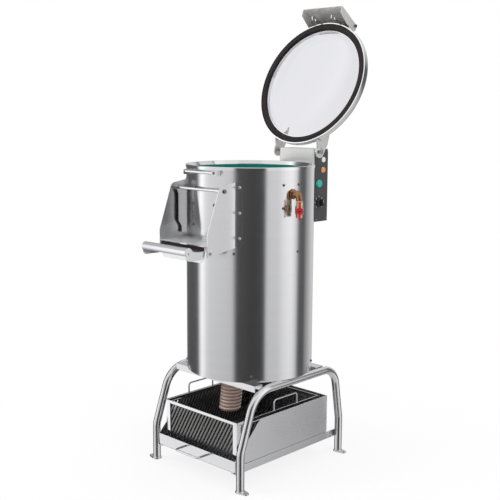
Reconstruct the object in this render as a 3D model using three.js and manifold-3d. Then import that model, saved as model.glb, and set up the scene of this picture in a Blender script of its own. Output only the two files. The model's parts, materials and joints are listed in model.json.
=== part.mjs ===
// A free-standing electric potato peeler, in millimetres, Z up.
// A steel drum stands on two bent tube arches. Its lid is propped open at the back, a chute
// with a hanging door leaves it at the front, and a drawer with a mesh basket catches the peel.
// The front, where the chute and the drawer open, faces -Y, and the water valve faces +X.
import * as THREE from 'three';
import { mergeVertices } from 'three/addons/utils/BufferGeometryUtils.js';
import Module from 'manifold-3d';

const wasm = await Module();
wasm.setup();

// Fits that every piece shares
const seat = 0.3;
const overrun = 5;
const weldDepth = 0.6;
const mergeReach = 0.0005;

// Smoothness: how many flats make up a round piece
const drumSides = 56;
const lidSides = 48;
const wheelSides = 24;
const tubeSides = 12;
const rodSides = 8;
const smallSides = 16;
const bendSteps = 4;
const waveSides = 36;
const waveRings = 5;

// Stand
const legInset = 13;
const tubeRadius = 15;
const railCentreHeight = 350;
const kinkHeight = 140;
const frontFootReach = 38;
const rearFootReach = 35;
const frontShoulderInset = 35;
const kinkBend = 70;
const frontBend = 104;
const rearBend = 75;
const footThickness = 5;
const footRadius = 18;
const earRadius = 11;
const earReach = 39;
const anchorHoleRadius = 4.5;
const beamHeight = 24;
const beamDepth = 40;
const beamInset = 90;
const beamWall = 3;

// Drawer rails, welded between the legs
const railBottom = 60;
const railHeight = 28;
const railLedge = 25;
const railWall = 3;
const railOverhang = 8;

// Drawer and its basket
const drawerSideGap = 1.4;
const drawerFrontProud = 5;
const drawerRearClear = 50;
const drawerHeight = 172.7;
const drawerFrontHeight = 44;
const drawerSlopeRun = 24;
const drawerWall = 2;
const drawerCorner = 12;
const pullRadius = 4;
const pullHalfWidth = 60;
const pullOffset = 12;
const pullReach = 58;
const pullDrop = 7;
const pullBend = 12;
const basketSideClear = 15.3;
const basketRearClear = 35;
const basketHeight = 174.4;
const basketBand = 10;
const basketFrame = 3;
const basketAngle = 20;
const meshWall = 1.5;
const meshMargin = 22;
const meshOpenShare = 0.62;
const meshWideCount = 7;
const meshDeepCount = 8;
const meshRowCount = 2;
const meshFloorCount = 3;
const grabRadius = 3;
const grabHeight = 43;
const grabLength = 128;
const grabBend = 12;
const leftGrabY = -81;
const rightGrabY = 1;

// Drum
const drumRadius = 240;
const drumWall = 2;
const driveRoom = 435;
const basePlateWall = 3;
const rimHeight = 12;
const rimInset = 4;
const rimProud = 2;
const rimRound = 2;
const linerWall = 8;
const linerDrop = 15;
const chamberDepth = 340;
const chamberFloorWall = 4;
const openingInset = 33;
const openingHeight = 158;

// Rotor, bearings and drive
const discClearance = 5.7;
const discLift = 5.5;
const discEdge = 20;
const discDish = 6;
const discWave = 15;
const discWaves = 3;
const discHubRadius = 32;
const discHubRise = 9;
const shaftRadius = 15;
const shaftSocket = 12;
const shaftTail = 6;
const runningGap = 0.3;
const bearingOuter = 26;
const bearingWidth = 15;
const bearingInset = 8;
const bearingBarrelRadius = 38;
const bearingFlangeRadius = 62;
const bearingFlange = 6;
const bearingBarrel = 146;
const pulleyDrop = 232;
const pulleyWidth = 30;
const drivePulleyRadius = 34;
const pulleyClear = 21;
const pulleyHub = 28;
const driveHub = 18;
const pulleyWeb = 10;
const pulleyRim = 13;
const beltWidth = 11.4;
const beltThickness = 8;
const beltGroove = 12;
const motorShellClear = 13;
const motorRadius = 70;
const motorCowlRadius = 64;
const motorHeight = 160;
const motorCowl = 45;
const motorShaftRadius = 9.5;
const motorShaftInset = 30;
const motorPlateWall = 8;
const motorPlateHalf = 72;
const motorPlateFore = 73;
const motorPlateAft = 67;
const motorPostRadius = 5;
const motorPostInset = 9;
const motorFinDepth = 4;
const motorFins = 3;

// Drain
const drainPulleyClear = 20;
const drainRadius = 30;
const drainWall = 3;
const hoseOffsetX = 4;
const hoseBeamClear = 55;
const drainKneeTopShare = 0.858;
const drainKneeFootShare = 0.49;
const drainBend = 45;
const hoseOuterRadius = 42.5;
const hoseValleyRadius = 38.5;
const hosePitch = 13;
const hoseRibs = 14;
const hoseSides = 8;
const hoseBoreEvery = 5;
const hoseLeanX = -8;
const hoseLeanY = -7;
const hosePassage = 50;
const hoseOverlap = 26;

// Chute, its tray and its hanging door
const wingX = 125;
const wingWall = 2.5;
const wingTopDrop = 50;
const wingHeight = 231;
const wingFlangeWidth = 27;
const wingFlangeWall = 2.5;
const wingTopReach = 78;
const wingTopFall = 15;
const wingNoseReach = 136;
const wingNoseHeight = 76;
const wingKeelRise = 23;
const wingRound = 12;
const trayWall = 2;
const trayTopAboveKeel = 22;
const trayFall = 6;
const trayLipRadius = 17;
const trayLipReach = 75;
const trayLipDrop = 12;
const trayLipInset = 11;
const trayValleyDrop = 14;
const trayValleyShare = 0.72;
const trayLipStart = 30;
const trayLipEnd = 215;
const trayCurveSteps = 5;
const trayEndWall = 2.5;
const trayEndDepth = 30;
const trayEndRound = 20;
const apronDepth = 56;
const apronChamfer = 18;
const apronWall = 2.5;
const rodRadius = 5;
const rodRise = 16;
const rodInset = 23.5;
const rodHeadRadius = 8;
const rodHead = 5;
const doorGap = 0.6;
const doorSealWall = 2.4;
const doorWall = 2.5;
const doorArmInset = 12;
const doorArmWall = 2.5;
const doorTopDrop = 7;
const doorFloorClear = 10;
const doorArmBoss = 11;
const doorArmUpperFront = 1;
const doorArmLowerFront = 16;
const doorArmStepHigh = 119;
const doorArmStepLow = 143;
const doorSealBand = 16;

// Latch keeper on the drum
const keeperX = 74;
const keeperWall = 2.5;
const keeperEarDrop = 10.5;
const keeperDrop = 20;
const keeperBarRadius = 5;
const keeperReach = 22;
const keeperNose = 8;

// Lid, drawn closed and then swung open
const lidOpen = 112;
const hingeReach = 32;
const hingeAboveRim = 40;
const hingePinRadius = 6;
const lidRimClear = 5;
const lidRimWall = 4;
const lidSkirtClear = 1.5;
const lidSkirt = 24;
const lidFlangeReach = 23;
const sealReach = 10;
const sealWidth = 24;
const sealHeight = 17;
const sealRound = 5;
const domeWall = 3.5;
const domeFlange = 4;
const domeFlangeReach = 18;
const domeNeck = 12;
const domeRise = 66;
const domeSteps = 5;
const hingePlateClear = 16;
const hingePlateWall = 5;
const hingeHubRadius = 24;
const hingePlateFoot = 95;
const hingePlateRise = 46;
const hingePlateHeel = 24;
const hingeNutRadius = 13;
const hingeNut = 8;

// Latch housing and hook on the lid's front edge
const latchHalfWidth = 100;
const latchWall = 2;
const latchBottomDrop = 47;
const latchNoseReach = 42;
const latchMouth = 27;
const latchHeelDrop = 9;
const latchHeelInset = 9;
const latchShoulderReach = 14;
const latchTopRise = 68;
const latchTopDepth = 24;
const latchBackInset = 19;
const latchPinRadius = 4;
const latchPinReach = 7;
const latchPinDrop = 11;
const latchKnobRadius = 7;
const latchKnob = 7;
const hookWall = 5;
const hookSleeveRadius = 6.5;
const hookBossRadius = 6.5;
const hookLeftX = -52;
const hookRightX = 46;
const hookShank = 6;
const hookBarGap = 1;
const hookNoseReach = 5;
const hookNoseDepth = 7;
const hookNoseCam = 9;

// Control housing, its panel and its controls
const housingHalfWidth = 92;
const housingClear = 22;
const housingDepth = 80;
const housingHeight = 285;
const housingAboveRim = 50;
const housingWall = 2;
const housingCorner = 6;
const coverWall = 2;
const standoffHalf = 60;
const standoffWall = 3;
const standoffBottomDrop = 190;
const standoffHeight = 160;
const panelWall = 3;
const panelInset = 1.5;
const panelCorner = 12;
const lampRadius = 8.5;
const lampBezel = 10.5;
const lampBezelDepth = 2;
const lampDome = 3.5;
const controlStem = 7;
const controlStemDepth = 14;
const lampY = 50;
const whiteLampDrop = 42;
const orangeLampDrop = 82;
const buttonY = 21;
const buttonDrop = 134;
const buttonRadius = 12;
const buttonBezelRadius = 16;
const buttonBezelDepth = 5;
const buttonProud = 9;
const buttonRun = 0.5;
const knobY = 27;
const knobDrop = 209;
const knobRadius = 18;
const knobSkirt = 4;
const knobDepth = 22;
const knobGripHalf = 5;
const knobShaftRadius = 3;
const knobLift = 1;
const glandRadius = 11;
const glandThread = 8;
const glandHeight = 18;
const glandInset = 12;
const glandX = -45;
const glandBore = 4;

// Water inlet and its valve
const inletY = -30;
const inletDrop = 96;
const inletReach = 30;
const inletRadius = 13;
const inletBore = 10;
const inletElbow = 15;
const inletHole = 14;
const inletFall = 21;
const inletNutRadius = 19;
const inletNut = 6;
const inletInside = 4;
const valveNutRadius = 14;
const valveNut = 18;
const valveBodyRadius = 15;
const valveBody = 34;
const valveTail = 9;
const valveTailRadius = 12;
const valveBore = 7;
const valveStemRadius = 5;
const valveStemBoss = 8;
const valveStem = 24;
const valveAway = 45;
const leverHubRadius = 13;
const leverWall = 5;
const leverHalf = 33;
const leverHalfWidth = 4;
const leverNut = 4;
const leverNutRadius = 5;
const leverClear = 0.5;

// Places that follow from the sizes above
const legHalfSpan = drumRadius - legInset;
const frontFootY = -(drumRadius + frontFootReach);
const rearFootY = drumRadius + rearFootReach;
const frontShoulderY = -(drumRadius - frontShoulderInset);
const rearShoulderY = drumRadius;
const legFace = legHalfSpan - tubeRadius - seat;
const beamSetback = drumRadius - beamInset;
const drawerHalf = legFace - railWall - drawerSideGap;
const drawerFrontY = frontFootY - drawerFrontProud;
const drawerRearY = rearFootY - drawerRearClear;
const basketHalfWidth = drawerHalf - drawerWall - basketSideClear;
const basketFrontY = drawerFrontY + drawerSlopeRun;
const basketRearY = drawerRearY - basketRearClear;
const railTop = railCentreHeight + tubeRadius;
const drumBottom = railTop + seat;
const rimTop = drumBottom + driveRoom + chamberDepth;
const drumInner = drumRadius - drumWall;
const rimBottom = rimTop - rimHeight;
const chamberFloorTop = rimTop - chamberDepth;
const chamberFloorBottom = chamberFloorTop - chamberFloorWall;
const linerOuter = drumInner - seat;
const linerInner = linerOuter - linerWall;
const linerTop = rimTop - linerDrop;
const wingTop = rimTop - wingTopDrop;
const wingKeel = wingTop - wingHeight;
const wingRootY = -Math.sqrt(drumRadius ** 2 - wingX ** 2);
const trayTop = wingKeel + trayTopAboveKeel;
const rodY = wingRootY - wingTopReach + rodInset;
const rodZ = wingTop - wingTopFall - rodRise;
const hingeZ = rimTop + hingeAboveRim;
const pulleyBottom = chamberFloorBottom - pulleyDrop;
const motorOffsetY = drumInner - motorRadius - motorShellClear;
const drivenPulleyRadius = motorOffsetY - drivePulleyRadius - pulleyClear;
const motorPlateFrontY = motorOffsetY - motorPlateFore;
const motorPlateRearY = motorOffsetY + motorPlateAft;
const drainOffsetY = -(drivenPulleyRadius + drainRadius + drainPulleyClear);
const hoseOffsetY = -(beamSetback - hoseBeamClear);
const openingHalfWidth = wingX - openingInset;
const trayLipHalf = wingX - trayLipInset;
const hingeY = drumRadius + hingeReach;
const sealOuterRadius = drumRadius + sealReach;
const lidRimRadius = sealOuterRadius + lidRimClear;
const hingePlateX = housingHalfWidth + hingePlateClear;
const latchNoseY = -(lidRimRadius + latchNoseReach);
const latchHeelY = -(lidRimRadius - latchHeelInset);
const latchShoulderY = -(lidRimRadius + latchShoulderReach);
const latchBackY = -(lidRimRadius - latchBackInset);
const latchPinY = -(lidRimRadius + latchPinReach);
const housingFrontY = drumRadius + housingClear;
const latchBottom = rimTop - latchBottomDrop;
const latchTop = rimTop + latchTopRise;
const latchPinZ = latchTop - latchPinDrop;
const keeperBarY = -(drumRadius + keeperReach);
const keeperBarZ = rimTop - keeperDrop;
const housingTop = rimTop + housingAboveRim;
const housingBottom = housingTop - housingHeight;

// Finishes
const finish = (color, roughness, metalness) =>
  new THREE.MeshStandardMaterial({ color, roughness, metalness });
const brushedSteel = finish(0xc9c9cb, 0.32, 1);
const polishedSteel = finish(0xdcdcde, 0.16, 1);
const darkSteel = finish(0x77777a, 0.45, 1);
const teal = finish(0x00827a, 0.8, 0);
const blackRubber = finish(0x1a1718, 0.7, 0);
const clearPlastic = new THREE.MeshStandardMaterial({
  color: 0xf2f4f6,
  roughness: 0.05,
  metalness: 0,
  transparent: true,
  opacity: 0.35,
});
const hosePlastic = finish(0x9a8076, 0.45, 0);
const panelGrey = finish(0x484848, 0.6, 0);
const whiteLens = finish(0xf2f2f2, 0.2, 0);
const orangeLens = finish(0xff9a28, 0.2, 0);
const greenCap = finish(0x00c4a8, 0.35, 0);
const blackPlastic = finish(0x111111, 0.5, 0);
const redPaint = finish(0xc8142a, 0.35, 0);
const brass = finish(0xb98a4a, 0.3, 1);
const motorPaint = finish(0x50565c, 0.55, 0);

// Solids: closed meshes, joined and cut
function signedVolume(geometry) {
  const places = geometry.attributes.position;
  const corners = [new THREE.Vector3(), new THREE.Vector3(), new THREE.Vector3()];
  let total = 0;
  for (let i = 0; i < geometry.index.count; i += 3) {
    corners.forEach((corner, k) => corner.fromBufferAttribute(places, geometry.index.getX(i + k)));
    total += corners[0].dot(corners[1].cross(corners[2]));
  }
  return total;
}

function closed(geometry) {
  const bare = geometry.clone();
  bare.deleteAttribute('normal');
  bare.deleteAttribute('uv');
  const merged = mergeVertices(bare, mergeReach);
  const kept = [];
  for (let i = 0; i < merged.index.count; i += 3) {
    const [a, b, c] = [0, 1, 2].map((k) => merged.index.getX(i + k));
    if (a !== b && b !== c && c !== a) kept.push(a, b, c);
  }
  merged.setIndex(kept);
  if (signedVolume(merged) < 0) {
    merged.setIndex(kept.map((_, i) => kept[i - (i % 3) + ((3 - (i % 3)) % 3)]));
  }
  return merged;
}

function toSolid(geometry) {
  const mesh = closed(geometry);
  return new wasm.Manifold(new wasm.Mesh({
    numProp: 3,
    vertProperties: new Float32Array(mesh.attributes.position.array),
    triVerts: new Uint32Array(mesh.index.array),
  }));
}

function toGeometry(solid) {
  const mesh = solid.getMesh();
  const geometry = new THREE.BufferGeometry();
  geometry.setAttribute('position', new THREE.BufferAttribute(new Float32Array(mesh.vertProperties), 3));
  geometry.setIndex([...mesh.triVerts]);
  return geometry;
}

const join = (first, ...others) =>
  toGeometry(others.reduce((sum, other) => sum.add(toSolid(other)), toSolid(first)));
const cut = (first, ...tools) =>
  toGeometry(tools.reduce((rest, tool) => rest.subtract(toSolid(tool)), toSolid(first)));
const common = (first, second) => toGeometry(toSolid(first).intersect(toSolid(second)));

// Basic shapes, all placed by their real corners and centres
function block(x0, x1, y0, y1, z0, z1) {
  const geometry = new THREE.BoxGeometry(x1 - x0, y1 - y0, z1 - z0);
  return geometry.translate((x0 + x1) / 2, (y0 + y1) / 2, (z0 + z1) / 2);
}

// Every outline runs counter-clockwise, so that holes cut in it are holes
function outline(points) {
  const corners = points.map(([x, y]) => new THREE.Vector2(x, y));
  return new THREE.Shape(THREE.ShapeUtils.isClockWise(corners) ? corners.reverse() : corners);
}

function slab(shape, depth) {
  return new THREE.ExtrudeGeometry(shape, { depth, bevelEnabled: false, curveSegments: smallSides });
}

const alongX = new THREE.Matrix4().makeBasis(
  new THREE.Vector3(0, 1, 0), new THREE.Vector3(0, 0, 1), new THREE.Vector3(1, 0, 0));
const alongY = new THREE.Matrix4().makeBasis(
  new THREE.Vector3(1, 0, 0), new THREE.Vector3(0, 0, 1), new THREE.Vector3(0, -1, 0));

// An outline drawn in Y and Z, from x0 to x1
const slabX = (shape, x0, x1) => slab(shape, x1 - x0).applyMatrix4(alongX).translate(x0, 0, 0);
// An outline drawn in X and Z, from y0 to y1
const slabY = (shape, y0, y1) => slab(shape, y1 - y0).applyMatrix4(alongY).translate(0, y1, 0);
// An outline drawn in X and Y, from z0 to z1
const slabZ = (shape, z0, z1) => slab(shape, z1 - z0).translate(0, 0, z0);

function disc(radius, sides, x = 0, y = 0) {
  const points = [];
  for (let i = 0; i < sides; i += 1) {
    const turn = (2 * Math.PI * i) / sides;
    points.push([x + radius * Math.cos(turn), y + radius * Math.sin(turn)]);
  }
  return outline(points);
}

const rodX = (radius, x0, x1, y, z, sides = smallSides) => slabX(disc(radius, sides, y, z), x0, x1);
const rodUp = (radius, z0, z1, x, y, sides = smallSides) => slabZ(disc(radius, sides, x, y), z0, z1);

// A profile of [radius, height] pairs turned about Z
function turned(profile, sides) {
  const points = [...profile, profile[0]].map(([radius, height]) => new THREE.Vector2(radius, height));
  return new THREE.LatheGeometry(points, sides).rotateX(Math.PI / 2);
}

const turnedX = (profile, sides, x, y, z) =>
  turned(profile, sides).rotateY(Math.PI / 2).translate(x, y, z);

// A ring-shaped wall about the drum's axis, from one angle to another, counted from the front
function curvedWall(inner, outer, from, to, z0, z1, steps) {
  const points = [];
  const at = (radius, angle) => [radius * Math.sin(angle), -radius * Math.cos(angle)];
  for (let i = 0; i <= steps; i += 1) points.push(at(outer, from + ((to - from) * i) / steps));
  for (let i = steps; i >= 0; i -= 1) points.push(at(inner, from + ((to - from) * i) / steps));
  return slabZ(outline(points), z0, z1);
}

// A bent sheet: a route of [across, up] points given a thickness on its lower side
function sheet(route, thickness) {
  const lower = route.map((point, i) => {
    const before = route[Math.max(i - 1, 0)];
    const after = route[Math.min(i + 1, route.length - 1)];
    const first = new THREE.Vector2(point[0] - before[0], point[1] - before[1]).normalize();
    const last = new THREE.Vector2(after[0] - point[0], after[1] - point[1]).normalize();
    const way = first.clone().add(last).normalize();
    const stretch = first.length() > 0 && last.length() > 0 ? way.dot(last) : 1;
    return [point[0] + (way.y * thickness) / stretch, point[1] - (way.x * thickness) / stretch];
  });
  return outline([...route, ...lower.reverse()]);
}

// A route through given points, with a ring of the tube at each of them
class Route extends THREE.Curve {
  constructor(points) {
    super();
    this.points = points;
  }

  getPoint(t, target = new THREE.Vector3()) {
    const place = t * (this.points.length - 1);
    const first = Math.min(Math.floor(place), this.points.length - 2);
    return target.lerpVectors(this.points[first], this.points[first + 1], place - first);
  }

  getPointAt(t, target) {
    return this.getPoint(t, target);
  }

  getTangentAt(t, target = new THREE.Vector3()) {
    const last = this.points.length - 1;
    const i = Math.round(t * last);
    const here = this.points[i];
    const before = here.clone().sub(this.points[Math.max(i - 1, 0)]).normalize();
    const after = this.points[Math.min(i + 1, last)].clone().sub(here).normalize();
    return target.copy(before.add(after)).normalize();
  }
}

// Corners rounded to bends, each with its own radius
function bent(corners, radii, steps = bendSteps) {
  const route = [corners[0]];
  for (let i = 1; i < corners.length - 1; i += 1) {
    const back = corners[i - 1].clone().sub(corners[i]).normalize();
    const on = corners[i + 1].clone().sub(corners[i]).normalize();
    const half = back.angleTo(on) / 2;
    const middle = back.clone().add(on).normalize();
    const centre = corners[i].clone().addScaledVector(middle, radii[i - 1] / Math.sin(half));
    const start = corners[i].clone().addScaledVector(back, radii[i - 1] / Math.tan(half)).sub(centre);
    const axis = back.clone().cross(on).normalize().negate();
    for (let k = 0; k <= steps; k += 1) {
      const turn = ((Math.PI - 2 * half) * k) / steps;
      route.push(start.clone().applyAxisAngle(axis, turn).add(centre));
    }
  }
  route.push(corners[corners.length - 1]);
  return route;
}

function tube(route, radius, sides, bore = 0) {
  const section = disc(radius, sides);
  if (bore > 0) section.holes.push(disc(bore, sides));
  return new THREE.ExtrudeGeometry(section, {
    steps: route.length - 1,
    bevelEnabled: false,
    extrudePath: new Route(route),
  });
}

const at = (x, y, z) => new THREE.Vector3(x, y, z);
const degrees = THREE.MathUtils.degToRad;
const mirrored = (geometry) => geometry.clone().scale(-1, 1, 1);

const machine = new THREE.Group();
machine.name = 'potato_peeler';

function add(name, geometry, material, parent = machine) {
  const piece = new THREE.Mesh(closed(geometry), material);
  piece.name = name;
  parent.add(piece);
  return piece;
}

// Stand: two tube arches, each with a foot plate and an anchor ear under both ends
function footPlate(x, y) {
  const plate = new THREE.Shape();
  plate.absarc(0, 0, footRadius, Math.PI / 2, (3 * Math.PI) / 2, false);
  plate.absarc(earReach - earRadius, 0, earRadius, -Math.PI / 2, Math.PI / 2, false);
  plate.holes.push(disc(anchorHoleRadius, rodSides, earReach - earRadius, 0));
  return new THREE.ExtrudeGeometry(plate, {
    depth: footThickness,
    bevelEnabled: false,
    curveSegments: bendSteps,
  }).translate(x, y, 0);
}

function standArch() {
  const foot = footThickness - weldDepth;
  const corners = [
    at(legHalfSpan, frontFootY, foot),
    at(legHalfSpan, frontFootY, kinkHeight),
    at(legHalfSpan, frontShoulderY, railCentreHeight),
    at(legHalfSpan, rearShoulderY, railCentreHeight),
    at(legHalfSpan, rearFootY, kinkHeight),
    at(legHalfSpan, rearFootY, foot),
  ];
  const route = bent(corners, [kinkBend, frontBend, rearBend, kinkBend]);
  const feet = [frontFootY, rearFootY].map((y) => footPlate(legHalfSpan, y));
  return join(tube(route, tubeRadius, tubeSides), ...feet);
}

const rightArch = standArch();
add('right_stand_arch', rightArch, polishedSteel);
add('left_stand_arch', mirrored(rightArch), polishedSteel);

// Cross beams: channels with their backs up, which the drum stands on
function crossBeam(y0) {
  const y1 = y0 + beamDepth;
  const top = railTop;
  const bottom = top - beamHeight;
  const channel = outline([
    [y0, bottom], [y0 + beamWall, bottom], [y0 + beamWall, top - beamWall],
    [y1 - beamWall, top - beamWall], [y1 - beamWall, bottom], [y1, bottom],
    [y1, top], [y0, top],
  ]);
  return slabX(channel, -legFace, legFace);
}

add('front_cross_beam', crossBeam(-beamSetback - beamDepth), brushedSteel);
add('rear_cross_beam', crossBeam(beamSetback), brushedSteel);

// Drawer rails: angles on the inner side of the legs
function drawerRail() {
  const angle = outline([
    [legFace, railBottom], [legFace, railBottom + railHeight],
    [legFace - railWall, railBottom + railHeight], [legFace - railWall, railBottom + railWall],
    [legFace - railLedge, railBottom + railWall], [legFace - railLedge, railBottom],
  ]);
  return slabY(angle, frontFootY - railOverhang, rearFootY + railOverhang);
}

add('right_drawer_rail', drawerRail(), brushedSteel);
add('left_drawer_rail', mirrored(drawerRail()), brushedSteel);

// Drawer: a sheet tray with a low front wall, sloping side edges and a welded pull
function roundedFloor(half, bottom, top, corner) {
  const front = new THREE.Shape();
  front.moveTo(-half, top);
  front.lineTo(-half, bottom + corner);
  front.absarc(-half + corner, bottom + corner, corner, Math.PI, 1.5 * Math.PI, false);
  front.absarc(half - corner, bottom + corner, corner, 1.5 * Math.PI, 2 * Math.PI, false);
  front.lineTo(half, top);
  return outline(front.getPoints(2).map((point) => [point.x, point.y]));
}

function drawerTray() {
  const half = drawerHalf;
  const bottom = railBottom + railWall + seat;
  const top = bottom + drawerHeight;
  const low = bottom + drawerFrontHeight;
  const inner = half - drawerWall;
  const side = outline([
    [drawerFrontY, bottom], [drawerRearY, bottom], [drawerRearY, top],
    [drawerFrontY + drawerSlopeRun, top], [drawerFrontY, low],
  ]);
  const body = common(
    slabX(side, -half, half),
    slabY(roundedFloor(half, bottom, top, drawerCorner), drawerFrontY, drawerRearY),
  );
  const hollow = slabY(
    roundedFloor(inner, bottom + drawerWall, top + overrun, drawerCorner - drawerWall),
    drawerFrontY + drawerWall, drawerRearY - drawerWall);
  const mouth = block(
    -inner, inner, drawerFrontY - overrun, drawerFrontY + 2 * drawerWall, low, top + overrun);
  const pullZ = low - pullDrop;
  const pull = bent([
    at(pullOffset - pullHalfWidth, drawerFrontY + weldDepth, pullZ),
    at(pullOffset - pullHalfWidth, drawerFrontY - pullReach, pullZ),
    at(pullOffset + pullHalfWidth, drawerFrontY - pullReach, pullZ),
    at(pullOffset + pullHalfWidth, drawerFrontY + weldDepth, pullZ),
  ], [pullBend, pullBend]);
  return join(cut(body, hollow, mouth), tube(pull, pullRadius, rodSides));
}

const drawer = new THREE.Group();
machine.add(drawer);
add('pulp_drawer', drawerTray(), brushedSteel, drawer);

// Basket: an angle frame with two grab handles and five sheets of open mesh
const basketBottom = railBottom + railWall + seat + drawerWall + seat;
const basketTop = basketBottom + basketHeight;

// One box of sheet, cut open to a rim, a sole and four corner angles
function basketShell() {
  const half = basketHalfWidth;
  const outer = block(-half, half, basketFrontY, basketRearY, basketBottom, basketTop);
  const hollow = block(
    -half + basketFrame, half - basketFrame, basketFrontY + basketFrame, basketRearY - basketFrame,
    basketBottom - overrun, basketTop + overrun);
  const low = basketBottom + basketBand;
  const high = basketTop - basketBand;
  const across = block(
    -half + basketAngle, half - basketAngle, basketFrontY - overrun, basketRearY + overrun, low, high);
  const along = block(
    -half - overrun, half + overrun, basketFrontY + basketAngle, basketRearY - basketAngle, low, high);
  return cut(outer, hollow, across, along);
}

function grabHandle(x, y) {
  const route = bent([
    at(x, y - grabLength / 2, basketTop - weldDepth),
    at(x, y - grabLength / 2, basketTop + grabHeight - grabRadius),
    at(x, y + grabLength / 2, basketTop + grabHeight - grabRadius),
    at(x, y + grabLength / 2, basketTop - weldDepth),
  ], [grabBend, grabBend]);
  return tube(route, grabRadius, rodSides);
}

const basket = new THREE.Group();
drawer.add(basket);
add('basket_frame', join(
  basketShell(),
  grabHandle(basketHalfWidth - basketFrame / 2, rightGrabY),
  grabHandle(basketFrame / 2 - basketHalfWidth, leftGrabY),
), polishedSteel, basket);

// Open mesh as an outline with rows of diamond holes
function meshOutline(half0, half1, low, high, columns, rows) {
  const sheetOutline = outline([[half0, low], [half1, low], [half1, high], [half0, high]]);
  const wide = (half1 - half0 - 2 * meshMargin) / columns;
  const tall = (high - low - 2 * meshMargin) / rows;
  for (let column = 0; column < columns; column += 1) {
    for (let row = 0; row < rows; row += 1) {
      const x = half0 + meshMargin + wide * (column + 0.5);
      const y = low + meshMargin + tall * (row + 0.5);
      const dx = (wide * meshOpenShare) / 2;
      const dy = (tall * meshOpenShare) / 2;
      sheetOutline.holes.push(outline([[x - dx, y], [x, y - dy], [x + dx, y], [x, y + dy]]));
    }
  }
  return sheetOutline;
}

const meshOffset = basketFrame + seat;
const meshLow = basketBottom + meshWall + seat;
const meshHigh = basketTop - basketBand - seat;
const meshHalf = basketHalfWidth - meshOffset;
const meshFrontY = basketFrontY + meshOffset;
const meshRearY = basketRearY - meshOffset;
const wideMesh = meshOutline(-meshHalf, meshHalf, meshLow, meshHigh, meshWideCount, meshRowCount);
const deepMesh = meshOutline(
  meshFrontY + meshWall + seat, meshRearY - meshWall - seat, meshLow, meshHigh, meshDeepCount, meshRowCount);
const floorMesh = meshOutline(-meshHalf, meshHalf, meshFrontY, meshRearY, meshWideCount, meshFloorCount);
add('basket_front_mesh', slabY(wideMesh, meshFrontY, meshFrontY + meshWall), darkSteel, basket);
add('basket_rear_mesh', slabY(wideMesh, meshRearY - meshWall, meshRearY), darkSteel, basket);
add('basket_left_mesh', slabX(deepMesh, -meshHalf, -meshHalf + meshWall), darkSteel, basket);
add('basket_right_mesh', slabX(deepMesh, meshHalf - meshWall, meshHalf), darkSteel, basket);
add('basket_floor_mesh', slabZ(floorMesh, basketBottom, basketBottom + meshWall), darkSteel, basket);

// Drum: base plate, outer shell with the discharge opening, rolled rim, abrasive liner, floor
const drumCore = (radius, z0, z1) => rodUp(radius, z0, z1, 0, 0, drumSides);
const inletZ = rimTop - inletDrop;
const openingBottom = trayTop + trayWall;
const openingTool = block(
  -openingHalfWidth, openingHalfWidth, -drumRadius - overrun, -drumRadius / 2,
  openingBottom, openingBottom + openingHeight);
const inletTool = rodX(inletHole, drumRadius / 2, drumRadius + overrun, inletY, inletZ);
const hoseTool = rodUp(
  hosePassage, drumBottom - overrun, drumBottom + overrun, hoseOffsetX, hoseOffsetY);

add('base_plate', cut(drumCore(linerOuter, drumBottom, drumBottom + basePlateWall), hoseTool), brushedSteel);
add('outer_shell', cut(turned([
  [drumInner, drumBottom], [drumRadius, drumBottom],
  [drumRadius, rimBottom - seat], [drumInner, rimBottom - seat],
], drumSides), openingTool, inletTool), brushedSteel);
add('rim_ring', turned([
  [drumRadius - rimInset, rimBottom], [drumRadius + rimProud, rimBottom],
  [drumRadius + rimProud, rimTop - rimRound], [drumRadius + rimProud - rimRound, rimTop],
  [drumRadius - rimInset, rimTop],
], drumSides), polishedSteel);
add('abrasive_liner', cut(turned([
  [linerInner, chamberFloorTop + seat], [linerOuter, chamberFloorTop + seat],
  [linerOuter, linerTop], [linerInner, linerTop],
], drumSides), openingTool, inletTool), teal);

const shaftHole = bearingOuter - linerWall;
add('chamber_floor', cut(
  drumCore(linerOuter, chamberFloorBottom, chamberFloorTop),
  rodUp(shaftHole, chamberFloorBottom - overrun, chamberFloorTop + overrun, 0, 0),
  rodUp(drainRadius - drainWall, chamberFloorBottom - overrun, chamberFloorTop + overrun, 0, drainOffsetY),
), brushedSteel);

// Peeling disc: a dish whose top rises in waves, with a hub over the shaft's end
const discBottom = chamberFloorTop + discLift;
const discRadius = linerInner - discClearance;

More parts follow.
